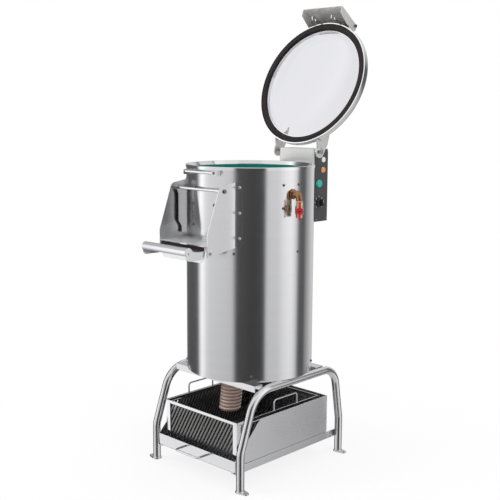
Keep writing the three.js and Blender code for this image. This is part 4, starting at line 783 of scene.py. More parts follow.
# %% [markdown]
# ## Drum
# The drum is a rolled sheet with a rim ring on top, whose inner face slopes down over the edge of
# the rough teal liner. Rings are spun from a profile, which keeps the circle perfect and the top
# edge properly round. The discharge opening is cut through the shell and the liner with the same
# block, from just under the door's edge upwards.

# %% Drum shell, rim and liner
WALL = 2
RIM_H = 12
LINER_WALL = 8
LINER_DROP = 15
CHAMBER = 340
OPENING_LOW = extent("door_panel", "z")[0] - 1.8
OPENING_TALL = 148
OPENING_HALF = 92


def opened(piece):
    """Cuts the discharge opening out of a ring."""
    low, high = OPENING_LOW, OPENING_LOW + OPENING_TALL
    cutter = box("cutter", spot(-OPENING_HALF, -drum_r - 10, low), spot(OPENING_HALF, -drum_r / 2, high), 0)
    return smooth(carved(piece, cutter))


shell_top = rim - RIM_H - GAP
shell = turned("drum_shell", [
    (drum_r - WALL, DRUM_BOTTOM / mm), (drum_r, DRUM_BOTTOM / mm), (drum_r, shell_top),
    (drum_r - WALL, shell_top)], steps=192)
settle(opened(shell), "root", BRUSHED_STEEL, "outer_shell")

rim_profile = [(drum_r - 4, rim - RIM_H), (drum_r + 2, rim - RIM_H)]
for step in range(9):
    turn = math.pi * step / 8
    rim_profile.append((drum_r - 1 + 3 * math.cos(turn), rim - 3 + 3 * math.sin(turn)))
rim_profile += [(drum_r - 10, rim - 13.5), (drum_r - 10, rim - 14.7), (drum_r - 4, rim - 14.7)]
drum_rim = turned("drum_rim", rim_profile, steps=192)
settle(drum_rim, "root", POLISHED_STEEL, "rim_ring")

liner_out = drum_r - WALL - GAP
liner_in = liner_out - LINER_WALL
liner = turned("drum_liner", [
    (liner_in, rim - CHAMBER + GAP), (liner_out, rim - CHAMBER + GAP), (liner_out, rim - LINER_DROP),
    (liner_in + 2, rim - LINER_DROP), (liner_in, rim - LINER_DROP - 2)], steps=160)
settle(opened(liner), "root", LINER_TEAL, "abrasive_liner")
print("drum made, opening from", round(OPENING_LOW, 1), "mm up")

# %% [markdown]
# ## Abrasive disc
# The disc that throws the potatoes about is a shallow dish with three broad waves. It is turned
# with many rings on its upper face, and the corners of each ring are then lifted by a formula of
# their angle and radius.

# %% Disc
DISC_LOW = extent("abrasive_disc", "z")[0]
DISC_R = half_width("abrasive_disc")
DISC_TOP = DISC_LOW + 20
DISC_BORE = 15.3
DISC_WAVE = 15
DISC_RINGS = 14
HUB_R = 32


def wavy_disc():
    """A turned dish whose upper corners are lifted: three waves, and a fall towards the hub."""
    profile = [(0, DISC_LOW + 12), (DISC_BORE, DISC_LOW + 12), (DISC_BORE, DISC_LOW),
               (DISC_R - 1, DISC_LOW), (DISC_R, DISC_LOW + 1)]
    for step in range(DISC_RINGS + 1):
        profile.append((DISC_R + (HUB_R - DISC_R) * step / DISC_RINGS, DISC_TOP))
    profile += [(HUB_R * 0.8, DISC_TOP + 4), (HUB_R * 0.4, DISC_TOP + 6), (0, DISC_TOP + 6)]
    piece = turned("wavy_disc", profile, steps=96)
    for corner in piece.data.vertices:
        if corner.co.z > (DISC_TOP - 0.5) * mm:
            arm = corner.co - AXIS
            reach = math.hypot(arm.x, arm.y) / mm
            share = min(max((reach - HUB_R) / (DISC_R - HUB_R), 0), 1)
            wave = max(0, math.cos(3 * math.atan2(arm.y, arm.x))) ** 2
            lift = DISC_WAVE * math.sin(math.pi * share) * wave - 6 * (1 - share)
            corner.co.z += lift * mm
    return smooth(piece, math.radians(60))


settle(wavy_disc(), "disc", LINER_TEAL, "abrasive_disc")

# %% [markdown]
# ## Drive under the chamber
# The motor, the pulleys, the belt and the shaft sit inside the closed drum. They show when
# someone takes the machine apart, so they are turned properly but kept quick to make: each is
# one profile about its own axis.

# %% Shafts, pulleys, bearings and motor
def axis_of(node):
    return spot(midway(node, "x"), midway(node, "y"), 0)


def span_of(node):
    """A turned node's lowest and highest height and its radius, in mm."""
    return *extent(node, "z"), half_width(node)


def plain_turned(node, body, material, make):
    """A turned piece in the place of a node, from a function that gives its profile."""
    low, high, radius = span_of(node)
    piece = turned(node + "_turned", make(low, high, radius), axis_of(node), 64)
    settle(piece, body, material, node)


def shaft_profile(low, high, radius):
    return both_ends([(0, low), (radius - 1, low), (radius, low + 1)], low, high)


def bearing_profile(low, high, radius):
    return [(radius - 10.4, low), (radius - 0.6, low), (radius, low + 0.6), (radius, high - 0.6),
            (radius - 0.6, high), (radius - 4, high), (radius - 4.4, high - 1.2), (radius - 7, high - 1.2),
            (radius - 7.4, high), (radius - 10.4, high)]


def housing_profile(low, high, radius):
    return [(26, low), (37, low), (38, low + 1), (38, high - 9), (41, high - 6), (radius - 1, high - 6),
            (radius, high - 5), (radius, high), (26, high)]


def pulley_profile(bore, hub=0, web=0):
    """A wheel with a groove for the belt. With a web, it is thin between its hub and its rim."""
    def profile(low, high, radius):
        middle = (low + high) / 2
        recess = radius - 13
        half = [(bore, low)]
        if web:
            half += [(hub, low), (hub, middle - web), (recess, middle - web), (recess, low)]
        half += [(radius - 0.6, low), (radius, low + 0.6)]
        half += [(radius, middle - 7.5), (radius - 8.3, middle - 5.9)]
        return both_ends(half, low, high)
    return profile


MOTOR_FINS = 11


def motor_profile(low, high, radius):
    """A shaft's bore from below, a body with cooling fins and a cap with a round shoulder."""
    profile = [(0, low + 31), (9.8, low + 31), (9.8, low), (radius - 3, low), (radius, low + 3)]
    pitch = (high - low - 60) / MOTOR_FINS
    valley = radius - 5
    for fin in range(MOTOR_FINS):
        start = low + 6 + pitch * fin
        profile += [(radius, start), (radius, start + 4), (valley, start + 4.6), (valley, start + pitch)]
    profile += [(radius - 6, high - 44), (radius - 6, high - 8), (radius - 14, high - 1), (0, high - 0.5)]
    return profile


plain_turned("disc_shaft", "disc", DARK_STEEL, shaft_profile)
plain_turned("motor_shaft", "motor_rotor", DARK_STEEL, shaft_profile)
plain_turned("lower_bearing", "root", POLISHED_STEEL, bearing_profile)
plain_turned("upper_bearing", "root", POLISHED_STEEL, bearing_profile)
plain_turned("bearing_housing", "root", DARK_STEEL, housing_profile)
plain_turned("driven_pulley", "disc", DARK_STEEL, pulley_profile(15.3, 28, 5))
plain_turned("drive_pulley", "motor_rotor", DARK_STEEL, pulley_profile(9.8))
plain_turned("motor_body", "root", MOTOR_PAINT, motor_profile)
settle(softened("drive_belt", 1.0, 2, 40), "root", RUBBER, "drive_belt")
print("drive made")

# %% [markdown]
# ## Drain
# The pipe leaves the chamber floor, swings to the middle and ends in a ribbed hose. The pipe is a
# tube along its route, made hollow by cutting a thinner one out. The hose is turned from a wavy
# profile, inside and outside, and its lower end is then pushed sideways a little, as it hangs.

# %% Drain pipe and ribbed hose
HOSE_X = 4
HOSE_Y = -95
RIB_STEPS = 8
PIPE_R = 30
PIPE_BENDS = [45, 45]


def drain_pipe():
    low, top = extent("drain_pipe", "z")
    knee = top - 300
    corners = [spot(0, -150, top), spot(0, -150, knee + 35), spot(HOSE_X, HOSE_Y, knee - 35),
               spot(HOSE_X, HOSE_Y, low)]
    outside = tube("drain_pipe_bent", rounded_route(corners, PIPE_BENDS), PIPE_R, 10)
    corners[0] += 10 * mm * Z
    corners[-1] -= 10 * mm * Z
    inside = tube("bore", rounded_route(corners, PIPE_BENDS), PIPE_R - 3, 10)
    return smooth(carved(outside, inside))


def ribbed_hose():
    """Wavy walls, turned upright, with the lower end drawn sideways by the square of its depth."""
    outer, inner = [], []
    for step in range(HOSE_RIBS * RIB_STEPS + 1):
        height = HOSE_HIGH - RIB_PITCH * step / RIB_STEPS
        wave = 0.5 - 0.5 * math.cos(2 * math.pi * step / RIB_STEPS)
        crest = wave ** 0.7
        outer.append((38.6 + 3.9 * crest, height))
        inner.append((35.8 + 2.6 * crest, height))
    piece = turned("ribbed_hose", outer + inner[::-1], spot(HOSE_X, HOSE_Y, 0), 64)
    length = (HOSE_HIGH - HOSE_LOW) * mm
    for corner in piece.data.vertices:
        share = (HOSE_HIGH * mm - corner.co.z) / length
        corner.co.x -= 8 * mm * share * share
        corner.co.y -= 7 * mm * share * share
    return smooth(piece, math.radians(70))


settle(drain_pipe(), "root", SHEET_STEEL, "drain_pipe")
settle(ribbed_hose(), "root", HOSE_PVC, "drain_hose")
clip = turned_about("hose_clip", [(42.8, 0), (43.8, 0), (43.8, 9), (42.8, 9)],
                    spot(HOSE_X, HOSE_Y, HOSE_HIGH - 14), Z, 64)
settle(clip, "root", POLISHED_STEEL)
print("hose hangs from", round(HOSE_HIGH), "to", round(HOSE_LOW), "mm")

# %% [markdown]
# ## Chute tray
# The tray's floor lies flat between the wings. In front of it the sheet dips to a valley and is
# rolled over, so that nobody is cut by its edge: a curve and an arc, swept across and given a
# wall. Two end plates close the roll and an apron hangs down behind it. A dark strip with the
# rubber finish fills the valley between the floor and the roll: it is painted shade, standing for
# the shadow that lies in that valley.

# %% Tray, ends, apron and painted valley shade
TRAY_TOP = extent("chute_tray", "z")[1] - 1.9
NOSE_Y = extent("chute_right_wing", "y")[0]
VALLEY_Z = TRAY_TOP - 20
LIP_R = 17
LIP_Y = NOSE_Y - 75
LIP_Z = TRAY_TOP - 18
LIP_LOW = TRAY_TOP - 48
LIP_HALF = 114
FLOOR_HALF = 123
TRAY_WALL = 2.4


def curve_points(start, bend, end, steps):
    """Points along a quadratic curve, in Y and Z."""
    points = []
    for step in range(steps + 1):
        t = step / steps
        points.append(tuple(
            (1 - t) ** 2 * a + 2 * (1 - t) * t * b + t ** 2 * c for a, b, c in zip(start, bend, end)))
    return points


def arc_points(centre, radius, start, end, steps):
    turns = [math.radians(start + (end - start) * step / steps) for step in range(steps + 1)]
    return [(centre[0] + radius * math.cos(turn), centre[1] + radius * math.sin(turn)) for turn in turns]


lip_arc = arc_points((LIP_Y, LIP_Z), LIP_R - 1, 30, 215, 22)
tray_line = curve_points((NOSE_Y, VALLEY_Z), (NOSE_Y - 53, VALLEY_Z - 4), lip_arc[0], 12) + lip_arc[1:]


def tray_floor():
    root_y = -math.sqrt((drum_r + 0.6) ** 2 - FLOOR_HALF ** 2)
    floor = plate("tray_floor", [
        spot(-FLOOR_HALF, NOSE_Y, TRAY_TOP - 4), spot(FLOOR_HALF, NOSE_Y, TRAY_TOP - 4),
        spot(FLOOR_HALF, root_y, TRAY_TOP - 2), spot(-FLOOR_HALF, root_y, TRAY_TOP - 2)], 2 * mm * Z, 0)
    reach = drum_r + 0.4
    drum = turned("cutter", [(0, 700), (reach, 700), (reach, 1000), (0, 1000)])
    return smooth(carved(floor, drum))


def rolled_tray():
    """The roll at the front with its two ends, its apron and its screws."""
    pieces = [strip("tray_roll", upright(-LIP_HALF, tray_line), 2, 2 * LIP_HALF * mm * X)]
    lobe = tray_line + arc_points((LIP_Y + 8, LIP_LOW + 20), 20, 215, 285, 8)
    lobe += [(NOSE_Y - 12, LIP_LOW), (NOSE_Y - 3, LIP_LOW + 8)]
    for x in (-LIP_HALF, LIP_HALF):
        pieces.append(side_plate("tray_end", x - TRAY_WALL / 2, lobe, TRAY_WALL, 0.3))
    half, corner = LIP_HALF, LIP_HALF - 18
    outline = [(-half, 0), (-half, -25), (-corner, -43), (corner, -43), (half, -25), (half, 0)]
    apron = [spot(x, NOSE_Y - 4, VALLEY_Z + z) for x, z in outline]
    pieces.append(plate("apron", apron, TRAY_WALL * mm * Y, 0.4))
    for side in (1, -1):
        place = spot(side * (LIP_HALF + TRAY_WALL / 2), LIP_Y + 2, LIP_Z - 3)
        pieces.append(rod("tray_screw", place, side * X, 4.5, 2.6, 1.0))
    return together("rolled_tray", pieces)


settle(tray_floor(), "root", SATIN_STEEL)
settle(rolled_tray(), "root", SHEET_STEEL, "chute_tray")
# A dark strip with the rubber finish in the valley: painted shade for the shadow in front of the tray floor.
rubber = box("painted_valley_shade_strip", spot(2 - LIP_HALF, NOSE_Y - 3.5, VALLEY_Z - 1),
             spot(LIP_HALF - 2, NOSE_Y - 0.5, TRAY_TOP - 6.2), 0.4)
settle(rubber, "root", RUBBER)
print("tray lip at", round(LIP_Y), "mm")

# %% [markdown]
# ## Chute door and its rod
# The door hangs from a rod between the wings. Its plate follows the drum, so it is drawn as an arc
# around the drum's own axis, swept upwards and given a wall. The two arms are flat plates that
# step back near their lower end. A rubber frame behind the plate seals the opening.

# %% Door plate, arms and seal
ROD_Y = midway("door_rod", "y")
ROD_Z = midway("door_rod", "z")
DOOR_LOW = extent("door_panel", "z")[0]
DOOR_HIGH = ROD_Z - 7
DOOR_R = drum_r + 3.3
DOOR_WALL = 2.5
ARM_X = 113
WING_IN = 123.45
WING_OUT = 126.55
COLLAR_IN = 114.9


def bent_plate(name, radius, span, low, high, wall, steps=40):
    """A sheet that follows the drum, from -span to +span degrees off the front."""
    line = [on_drum(-span + 2 * span * s / steps, low, radius - drum_r) for s in range(steps + 1)]
    return strip(name, line, wall, (high - low) * mm * Z, 0.5)


door_span = math.degrees(math.asin(ARM_X / (DOOR_R + DOOR_WALL)))


def door():
    pieces = [bent_plate("door_plate", DOOR_R + DOOR_WALL / 2, door_span, DOOR_LOW, DOOR_HIGH, DOOR_WALL)]
    back = -(DOOR_R + DOOR_WALL) * math.cos(math.radians(door_span))
    arm = [(back, DOOR_LOW), (back, DOOR_HIGH)] + arc_points((ROD_Y, ROD_Z), 11, 40, 180, 10)
    arm += [(ROD_Y - 1, ROD_Z - 22), (ROD_Y - 1, ROD_Z - 119), (ROD_Y + 15, ROD_Z - 143),
            (ROD_Y + 15, DOOR_LOW)]
    for side in (-1, 1):
        x = side * ARM_X - DOOR_WALL / 2
        hole = rod("hole", spot(x - 5, ROD_Y, ROD_Z), X, 5.3, 12, 0.1)
        pieces.append(smooth(carved(side_plate("arm", x, arm, DOOR_WALL, 0.4), hole)))
    return together("door_and_arms", pieces)


settle(door(), "door", BRUSHED_STEEL, "door_panel")
seal_r = drum_r + 1.8
seal = bent_plate("door_rubber", seal_r, door_span - 0.1, DOOR_LOW, DOOR_HIGH, 2.3)
carved(seal, bent_plate("cutter", seal_r, door_span - 3.8, DOOR_LOW + 16, DOOR_HIGH - 16, 8))
settle(smooth(seal), "door", RUBBER, "door_seal")


def door_rod():
    """The rod through both wings, with a collar inside each wing."""
    pieces = [rod("long_rod", spot(-WING_OUT - 4, ROD_Y, ROD_Z), X, 5, 2 * WING_OUT + 8, 0.4)]
    for x in (COLLAR_IN, -WING_IN):
        pieces.append(rod("collar", spot(x, ROD_Y, ROD_Z), X, 8, WING_IN - COLLAR_IN, 0.8))
    return together("door_rod_and_collars", pieces)


settle(door_rod(), "root", POLISHED_STEEL, "door_rod")
heads = [rod("head", spot(side * WING_OUT, ROD_Y, ROD_Z), side * X, 8, 4.6, 1.2, 6) for side in (1, -1)]
settle(together("door_rod_heads", heads), "root", DARK_STEEL)
print("door reaches", round(door_span, 1), "degrees each way")

# %% [markdown]
# ## Latch keeper
# The lid's hook catches a bar that stands off the front of the drum. Two ears carry it, welded to
# the shell, and the bar's ends are riveted over.

# %% Keeper
KEEPER_Y = -(drum_r + 22)
KEEPER_Z = rim - 20
KEEPER_X = 74
EAR_WALL = 2.5


def keeper():
    pieces = [rod("keeper_bar", spot(-KEEPER_X + 1, KEEPER_Y, KEEPER_Z), X, 5, 2 * KEEPER_X - 2, 0.5)]
    low, high = KEEPER_Z - 10.5, shell_top
    root = -math.sqrt((drum_r + 0.6) ** 2 - KEEPER_X ** 2)
    nose = KEEPER_Y - 8
    ear = [(root, low), (root, high), (nose + 4, high), (nose, high - 4), (nose, low + 4), (nose + 4, low)]
    for side in (-1, 1):
        pieces.append(side_plate("ear", side * KEEPER_X - EAR_WALL / 2, ear, EAR_WALL))
    return together("keeper_bar_and_ears", pieces)


settle(keeper(), "root", POLISHED_STEEL, "latch_keeper")
rivets = []
for side in (-1, 1):
    place = spot(side * (KEEPER_X + 1), KEEPER_Y, KEEPER_Z)
    rivets.append(rod("rivet", place, side * X, 5.6, 2.2, 1.0))
settle(together("keeper_rivets", rivets), "root", DARK_STEEL)

# %% [markdown]
# ## Lid
# The lid is easiest to make closed, level on the drum, and then to swing open about its hinge:
# every ring is turned about the drum's own axis first. The frame gives the hinge and how far the
# lid may turn, so the swing is exactly the one that the real hinge makes.

# %% Lid rings and dome
hinge = joints["lid_hinge"]
HINGE = Vector(hinge["pos_m"])
OPEN = math.radians(hinge["range_deg"][1])
SWING = Matrix.Translation(HINGE) @ Matrix.Rotation(-OPEN, 4, "X") @ Matrix.Translation(-HINGE)
SEAL_LOW = rim + GAP
SEAL_HIGH = SEAL_LOW + 17
DOME_LOW = SEAL_HIGH + GAP
DOME_R = 231.7
DOME_WALL = 3.5
DOME_RISE = 66
FLANGE_R = DOME_R + 18
FLANGE_WALL = 4
RIM_WALL = 4
LID_TOP = DOME_LOW + FLANGE_WALL + GAP + RIM_WALL


def quarter(radius, rise, base, steps=18):
    """A quarter of an ellipse from its side up to the axis."""
    points = []
    for step in range(steps + 1):
        turn = math.pi / 2 * step / steps
        points.append((radius * math.cos(turn) if step < steps else 0, base + rise * math.sin(turn)))
    return points


def lid_ring(name, profile, steps, material, *stands_for):
    """A ring of the closed lid, swung open with it."""
    piece = turned(name, profile, steps=steps)
    piece.data.transform(SWING)
    return settle(piece, "lid", material, *stands_for)


lid_ring("lid_rubber_ring", [
    (229, SEAL_LOW + 1), (231, SEAL_LOW), (245, SEAL_LOW), (249, SEAL_LOW + 2), (250, SEAL_LOW + 6),
    (250, SEAL_HIGH), (226, SEAL_HIGH), (226, SEAL_LOW + 9), (227, SEAL_LOW + 4)],
    160, RUBBER, "lid_seal")
lid_ring("lid_steel_ring", [
    (251, rim + 1.5), (255, rim + 1.5), (255, LID_TOP - 3), (254.1, LID_TOP - 0.9), (252, LID_TOP),
    (232, LID_TOP), (232, LID_TOP - RIM_WALL), (251, LID_TOP - RIM_WALL)],
    160, POLISHED_STEEL, "lid_rim")
dome_neck = DOME_LOW + FLANGE_WALL + 12
dome_profile = [(DOME_R - DOME_WALL, DOME_LOW), (FLANGE_R, DOME_LOW), (FLANGE_R, DOME_LOW + FLANGE_WALL),
                (DOME_R, DOME_LOW + FLANGE_WALL)]
dome_profile += quarter(DOME_R, DOME_RISE, dome_neck)
dome_profile += quarter(DOME_R - DOME_WALL, DOME_RISE - DOME_WALL, dome_neck)[::-1]
lid_ring("clear_dome", dome_profile, 128, CLEAR, "lid_dome")
lid_ring("seal_holding_ring", [
    (223.5, SEAL_LOW + 9), (225.7, SEAL_LOW + 9), (225.7, SEAL_HIGH + 6), (223.5, SEAL_HIGH + 6)],
    128, POLISHED_STEEL)
print("lid swings", round(math.degrees(OPEN)), "degrees")

# %% Hinge pin and latch pin
def hinge_pin():
    half = half_width("lid_hinge_pin")
    y, z = (HINGE.y - AXIS.y) / mm, HINGE.z / mm
    pieces = [rod("pin", spot(-half, y, z), X, 6, 2 * half, 0.8)]
    for side in (-1, 1):
        start = side * (half - 8)
        pieces.append(rod("nut", spot(start, y, z), side * X, 13, 7, 1.2, 6))
        pieces.append(rod("washer", spot(start - side * 1.4, y, z), side * X, 15, 1.4, 0.3))
    return together("hinge_pin_and_nuts", pieces)


def latch_pin():
    half = half_width("latch_pin")
    y, z = midway("latch_pin", "y"), midway("latch_pin", "z")
    pieces = [rod("pin", spot(-half, y, z), X, 4, 2 * half, 0.5)]
    for side in (-1, 1):
        pieces.append(rod("knob", spot(side * (half - 6.6), y, z), side * X, 7, 6.6, 1.5))
    return together("latch_pin_and_knobs", pieces)


settle(hinge_pin(), "root", POLISHED_STEEL, "lid_hinge_pin")
settle(latch_pin(), "lid", DARK_STEEL, "latch_pin")

# %% [markdown]
# ## Lamps, button and knob
# Small turned parts sell the scale of a machine, so each has a bezel, a step and a dome. The
# knob's grip is a bar with rounded edges on a round skirt with small ribs, and its place on the
# panel is marked with plain ticks.

# %% Lamps and start button
PANEL_X = extent("control_panel", "x")[1]


def on_panel(node, out=0.0):
    """The place on the panel's face in front of a node's middle."""
    return spot(PANEL_X + out, midway(node, "y"), midway(node, "z"))


def lamp(node, name, material):
    lens = [(0, -16), (7, -16), (7, 0.4), (10.6, 0.4), (10.6, 2.2), (9.6, 3.8), (7, 5.2), (3.5, 5.8), (0, 6)]
    ring = [(10.7, 0.3), (12, 0.3), (12, 1.4), (11.4, 1.8), (10.7, 1.8)]
    settle(turned_about(name, lens, on_panel(node), X), "root", material, node)
    settle(turned_about(name + "_ring", ring, on_panel(node), X), "root", POLISHED_STEEL)


lamp("white_lamp", "white_lamp_lens", WHITE_LENS)
lamp("orange_lamp", "orange_lamp_lens", ORANGE_LENS)
button_place = on_panel("button_bezel")
bezel = turned_about("button_ring", [
    (7.3, -16), (10, -16), (10, 0.3), (15.9, 0.3), (16, 0.5), (16, 4.4), (15.5, 5.2), (14.9, 5.2),
    (14.9, 0.9), (7.3, 0.9)], button_place, X, 64)
settle(bezel, "root", POLISHED_STEEL, "button_bezel")
cap = turned_about("green_button", [
    (0, -16), (7, -16), (7, 5.1), (14.6, 5.1), (14.6, 7.6), (14, 8.6), (12.6, 9.1), (6, 8.9), (0, 8.8)],
    button_place, X, 64)
settle(cap, "button", GREEN_CAP, "start_button")

# %% Selector knob and its ticks
def knob():
    place = on_panel("selector_knob", 1.3)
    skirt = [(0, 0), (17.4, 0), (18, 0.6), (18, 3), (15, 7), (13, 8), (0, 8)]
    pieces = [turned_about("skirt", skirt, place, X, 64), rod("shaft", place - 18 * mm * X, X, 3, 20, 0.2)]
    grip = box("grip", place + Vector((4, -5, -13.5)) * mm, place + Vector((21.8, 5, 13.5)) * mm, 0)
    pick(grip, lambda normal: normal.x > 0.5)
    bpy.ops.transform.resize(value=(1, 0.72, 0.94))
    done()
    apply(grip, "BEVEL", width=2 * mm, segments=4)
    pieces.append(smooth(grip))
    for side in (-1, 1):
        for step in range(7):
            turn = math.radians(12 + 26 * step)
            rib = Vector((0.8, 17.6 * side * math.cos(turn), 17.6 * side * math.sin(turn)))
            pieces.append(rod("rib", place + rib * mm, X, 1.1, 3.4, 0.4, 12))
    return together("ribbed_knob", pieces)


settle(knob(), "knob", BLACK_PLASTIC, "selector_knob")
grip_front = on_panel("selector_knob", 22.9)
pointer = box("knob_pointer", grip_front + Vector((0, -0.8, 2)) * mm,
              grip_front + Vector((0.5, 0.8, 11)) * mm, 0.2)
settle(pointer, "knob", WHITE_PRINT)
ticks = []
for step in range(7):
    tick = box("tick", Vector((0.05, 20.5, -0.9)) * mm, Vector((0.25, 26, 0.9)) * mm, 0)
    turn = Matrix.Rotation(math.radians(45 * step - 45), 4, "X")
    tick.data.transform(Matrix.Translation(on_panel("selector_knob")) @ turn)
    ticks.append(tick)
settle(together("knob_ticks", ticks), "root", WHITE_PRINT)
print("controls made")

# %% Cable gland
def gland():
    low, high = extent("cable_gland", "z")
    bottom = extent("control_housing", "z")[0]
    profile = [
        (4, low), (7, low), (8, low + 2), (9.2, low + 5), (10.6, low + 6), (11, low + 7), (11, bottom - 2),
        (11.4, bottom - 0.5), (8, bottom - 0.4), (8, high), (4, high)]
    return turned("gland_nut", profile, axis_of("cable_gland"), 12)


settle(gland(), "root", BLACK_PLASTIC, "cable_gland")

# %% [markdown]
# ## Water inlet
# Brass pipe comes out of the drum, turns down and ends in a ball valve with a red butterfly
# handle. The hexagons are turned with six steps. The handle is a flat outline with a round hub and
# round ends, bevelled until it looks pressed and dipped in paint. The valve is made facing +X and
# then turned about its own pipe, so that the handle faces the front right corner.

# %% Inlet pipe, valve and lever
INLET_Y = -30
INLET_X = 270
INLET_Z = rim - 96
VALVE_LOW, VALVE_HIGH = extent("valve_body", "z")
VALVE_MIDDLE = VALVE_HIGH - 35
STEM = spot(INLET_X, INLET_Y, 0)
ASIDE = Matrix.Translation(STEM) @ Matrix.Rotation(-math.pi / 4, 4, "Z") @ Matrix.Translation(-STEM)
LEVER_END = 29


def inlet(out, z):
    """A place on the axis of the pipe that comes down, or beside it towards +X."""
    return spot(INLET_X + out, INLET_Y, z)


def inlet_pipe():
    corners = [spot(226, INLET_Y, INLET_Z), inlet(0, INLET_Z), inlet(0, VALVE_HIGH + GAP)]
    pieces = [tube("elbow", rounded_route(corners, [15], 14), 13, 8)]
    pieces.append(rod("inlet_nut", spot(240.6, INLET_Y, INLET_Z), X, 19, 6, 1.4, 6))
    return together("brass_elbow", pieces)


def turned_aside(piece):
    """Turns a piece of the valve about the pipe."""
    piece.data.transform(ASIDE)
    return piece


def valve():
    middle, top = VALVE_MIDDLE, VALVE_HIGH
    barrel = [
        (7, VALVE_LOW), (11.4, VALVE_LOW), (12, VALVE_LOW + 0.6), (12, middle - 17), (13, middle - 15),
        (14.4, middle - 9), (15, middle - 4), (15, middle + 6), (14.2, middle + 14), (14, middle + 17),
        (7, middle + 17)]
    nut = [(7, middle + 17), (13.2, middle + 17), (14, middle + 18), (14, top - 1), (13.2, top), (7, top)]
    pieces = [turned("valve_barrel", barrel, STEM, 48), turned("valve_nut", nut, STEM, 6)]
    pieces.append(rod("stem", inlet(10, middle), X, 8, 9, 0.6))
    return together("ball_valve", pieces)


def lever():
    """Two narrow wings on a round hub, drawn as one outline."""
    y, z = INLET_Y, VALVE_MIDDLE
    line = arc_points((y, z + LEVER_END), 4, 0, 180, 10) + arc_points((y, z), 13, 108, 252, 20)
    line += arc_points((y, z - LEVER_END), 4, 180, 360, 10) + arc_points((y, z), 13, -72, 72, 20)
    return side_plate("butterfly", INLET_X + 19.5, line, 5, 1.4, 3)


settle(inlet_pipe(), "root", BRASS, "water_inlet_pipe")
settle(turned_aside(valve()), "root", CAST_BRASS, "valve_body")
settle(turned_aside(lever()), "lever", RED_PAINT, "valve_lever")
lever_nut = rod("lever_nut", inlet(24.3, VALVE_MIDDLE), X, 5, 4.2, 0.8, 6)
settle(turned_aside(lever_nut), "lever", DARK_STEEL)
print("water inlet made")

# %% [markdown]
# ## Drawer
# The drawer is a folded tray: one sheet makes the floor and both sides, and its front corners are
# cut off at a slope, down to the low front wall. The upper edges are folded over, which shows as a
# thin round hem. The pull is a bent wire, welded to the front.

# %% Drawer box, hem and pull
DRAWER_HALF = 207.3
DRAWER_FRONT = -283
DRAWER_REAR = 225
DRAWER_LOW, DRAWER_TOP = extent("pulp_drawer", "z")
FRONT_TOP = DRAWER_LOW + 44
SLOPE = 24
HEM_R = 1.6
PULL_X = (-48, 72)
PULL_OUT = 57.9


def drawer_fold(top):
    """The folded sheet's outline from the front: two walls and a floor with round corners."""
    half, bend = DRAWER_HALF - 1, 11
    floor = DRAWER_LOW + 1 + bend
    line = [(-half, top)] + arc_points((bend - half, floor), bend, 180, 270, 6)
    return line + arc_points((half - bend, floor), bend, 270, 360, 6) + [(half, top)]


def drawer_box():
    """The sheet, cut off at a slope in front, and its two end walls."""
    fold = [spot(x, DRAWER_FRONT, z) for x, z in drawer_fold(DRAWER_TOP - 1)]
    sheet = strip("folded_drawer", fold, 2, (DRAWER_REAR - DRAWER_FRONT) * mm * Y, 0)
    edit(sheet)
    bpy.ops.mesh.bisect(plane_co=spot(0, DRAWER_FRONT, FRONT_TOP), use_fill=True, clear_outer=True,
                        plane_no=(0, FRONT_TOP - DRAWER_TOP, SLOPE))
    done()
    pieces = [smooth(sheet)]
    for y, top in ((DRAWER_FRONT, FRONT_TOP), (DRAWER_REAR - 2, DRAWER_TOP - 1)):
        pieces.append(plate("end", [spot(x, y, z) for x, z in drawer_fold(top)], 2 * mm * Y, 0.4))
    return together("folded_drawer", pieces)


def wire_loop(name, corners, bend, radius, steps=10, sides=6):
    """A bent wire through four corners."""
    route = rounded_route([spot(*corner) for corner in corners], [bend, bend], steps)
    return tube(name, route, radius, sides)


def drawer_hem():
    x = DRAWER_HALF - 1
    z = DRAWER_TOP - HEM_R
    front, rear = DRAWER_FRONT + SLOPE + 2, DRAWER_REAR - 1
    return wire_loop("hem", [(-x, front, z), (-x, rear, z), (x, rear, z), (x, front, z)], 3, HEM_R, 6, 4)


def drawer_pull():
    z = FRONT_TOP - 7
    left, right = PULL_X
    end, out = DRAWER_FRONT + 0.5, DRAWER_FRONT - PULL_OUT
    pull = wire_loop("pull", [(left, end, z), (left, out, z), (right, out, z), (right, end, z)], 12, 4)
    return [pull] + [weld_bead(spot(x, DRAWER_FRONT, z), 4, 1.4, -Y) for x in PULL_X]


drawer = together("drawer_box_and_pull", [drawer_box(), drawer_hem()] + drawer_pull())
settle(drawer, "drawer", SHEET_STEEL, "pulp_drawer")

# %% [markdown]
# ## Basket
# An angle-steel frame holds five sheets of slotted mesh. The mesh is a grid that is turned so
# that its long slots lean at 60 degrees, trimmed to size, inset cell by cell, emptied and given a
# wall. One function makes every sheet, so the slots have one pitch all round. The side sheets get
# wider strands, so that less shows through two of them.

# %% Basket frame and grab handles
BASKET_HALF = 190
BASKET_FRONT = -259
BASKET_REAR = 190
BASKET_LOW = extent("basket_frame", "z")[0]
BASKET_TOP = BASKET_LOW + 174.4
BAR_TALL = 10
BAR_WALL = 3
POST_WIDE = 20
GRAB_HALF = 64


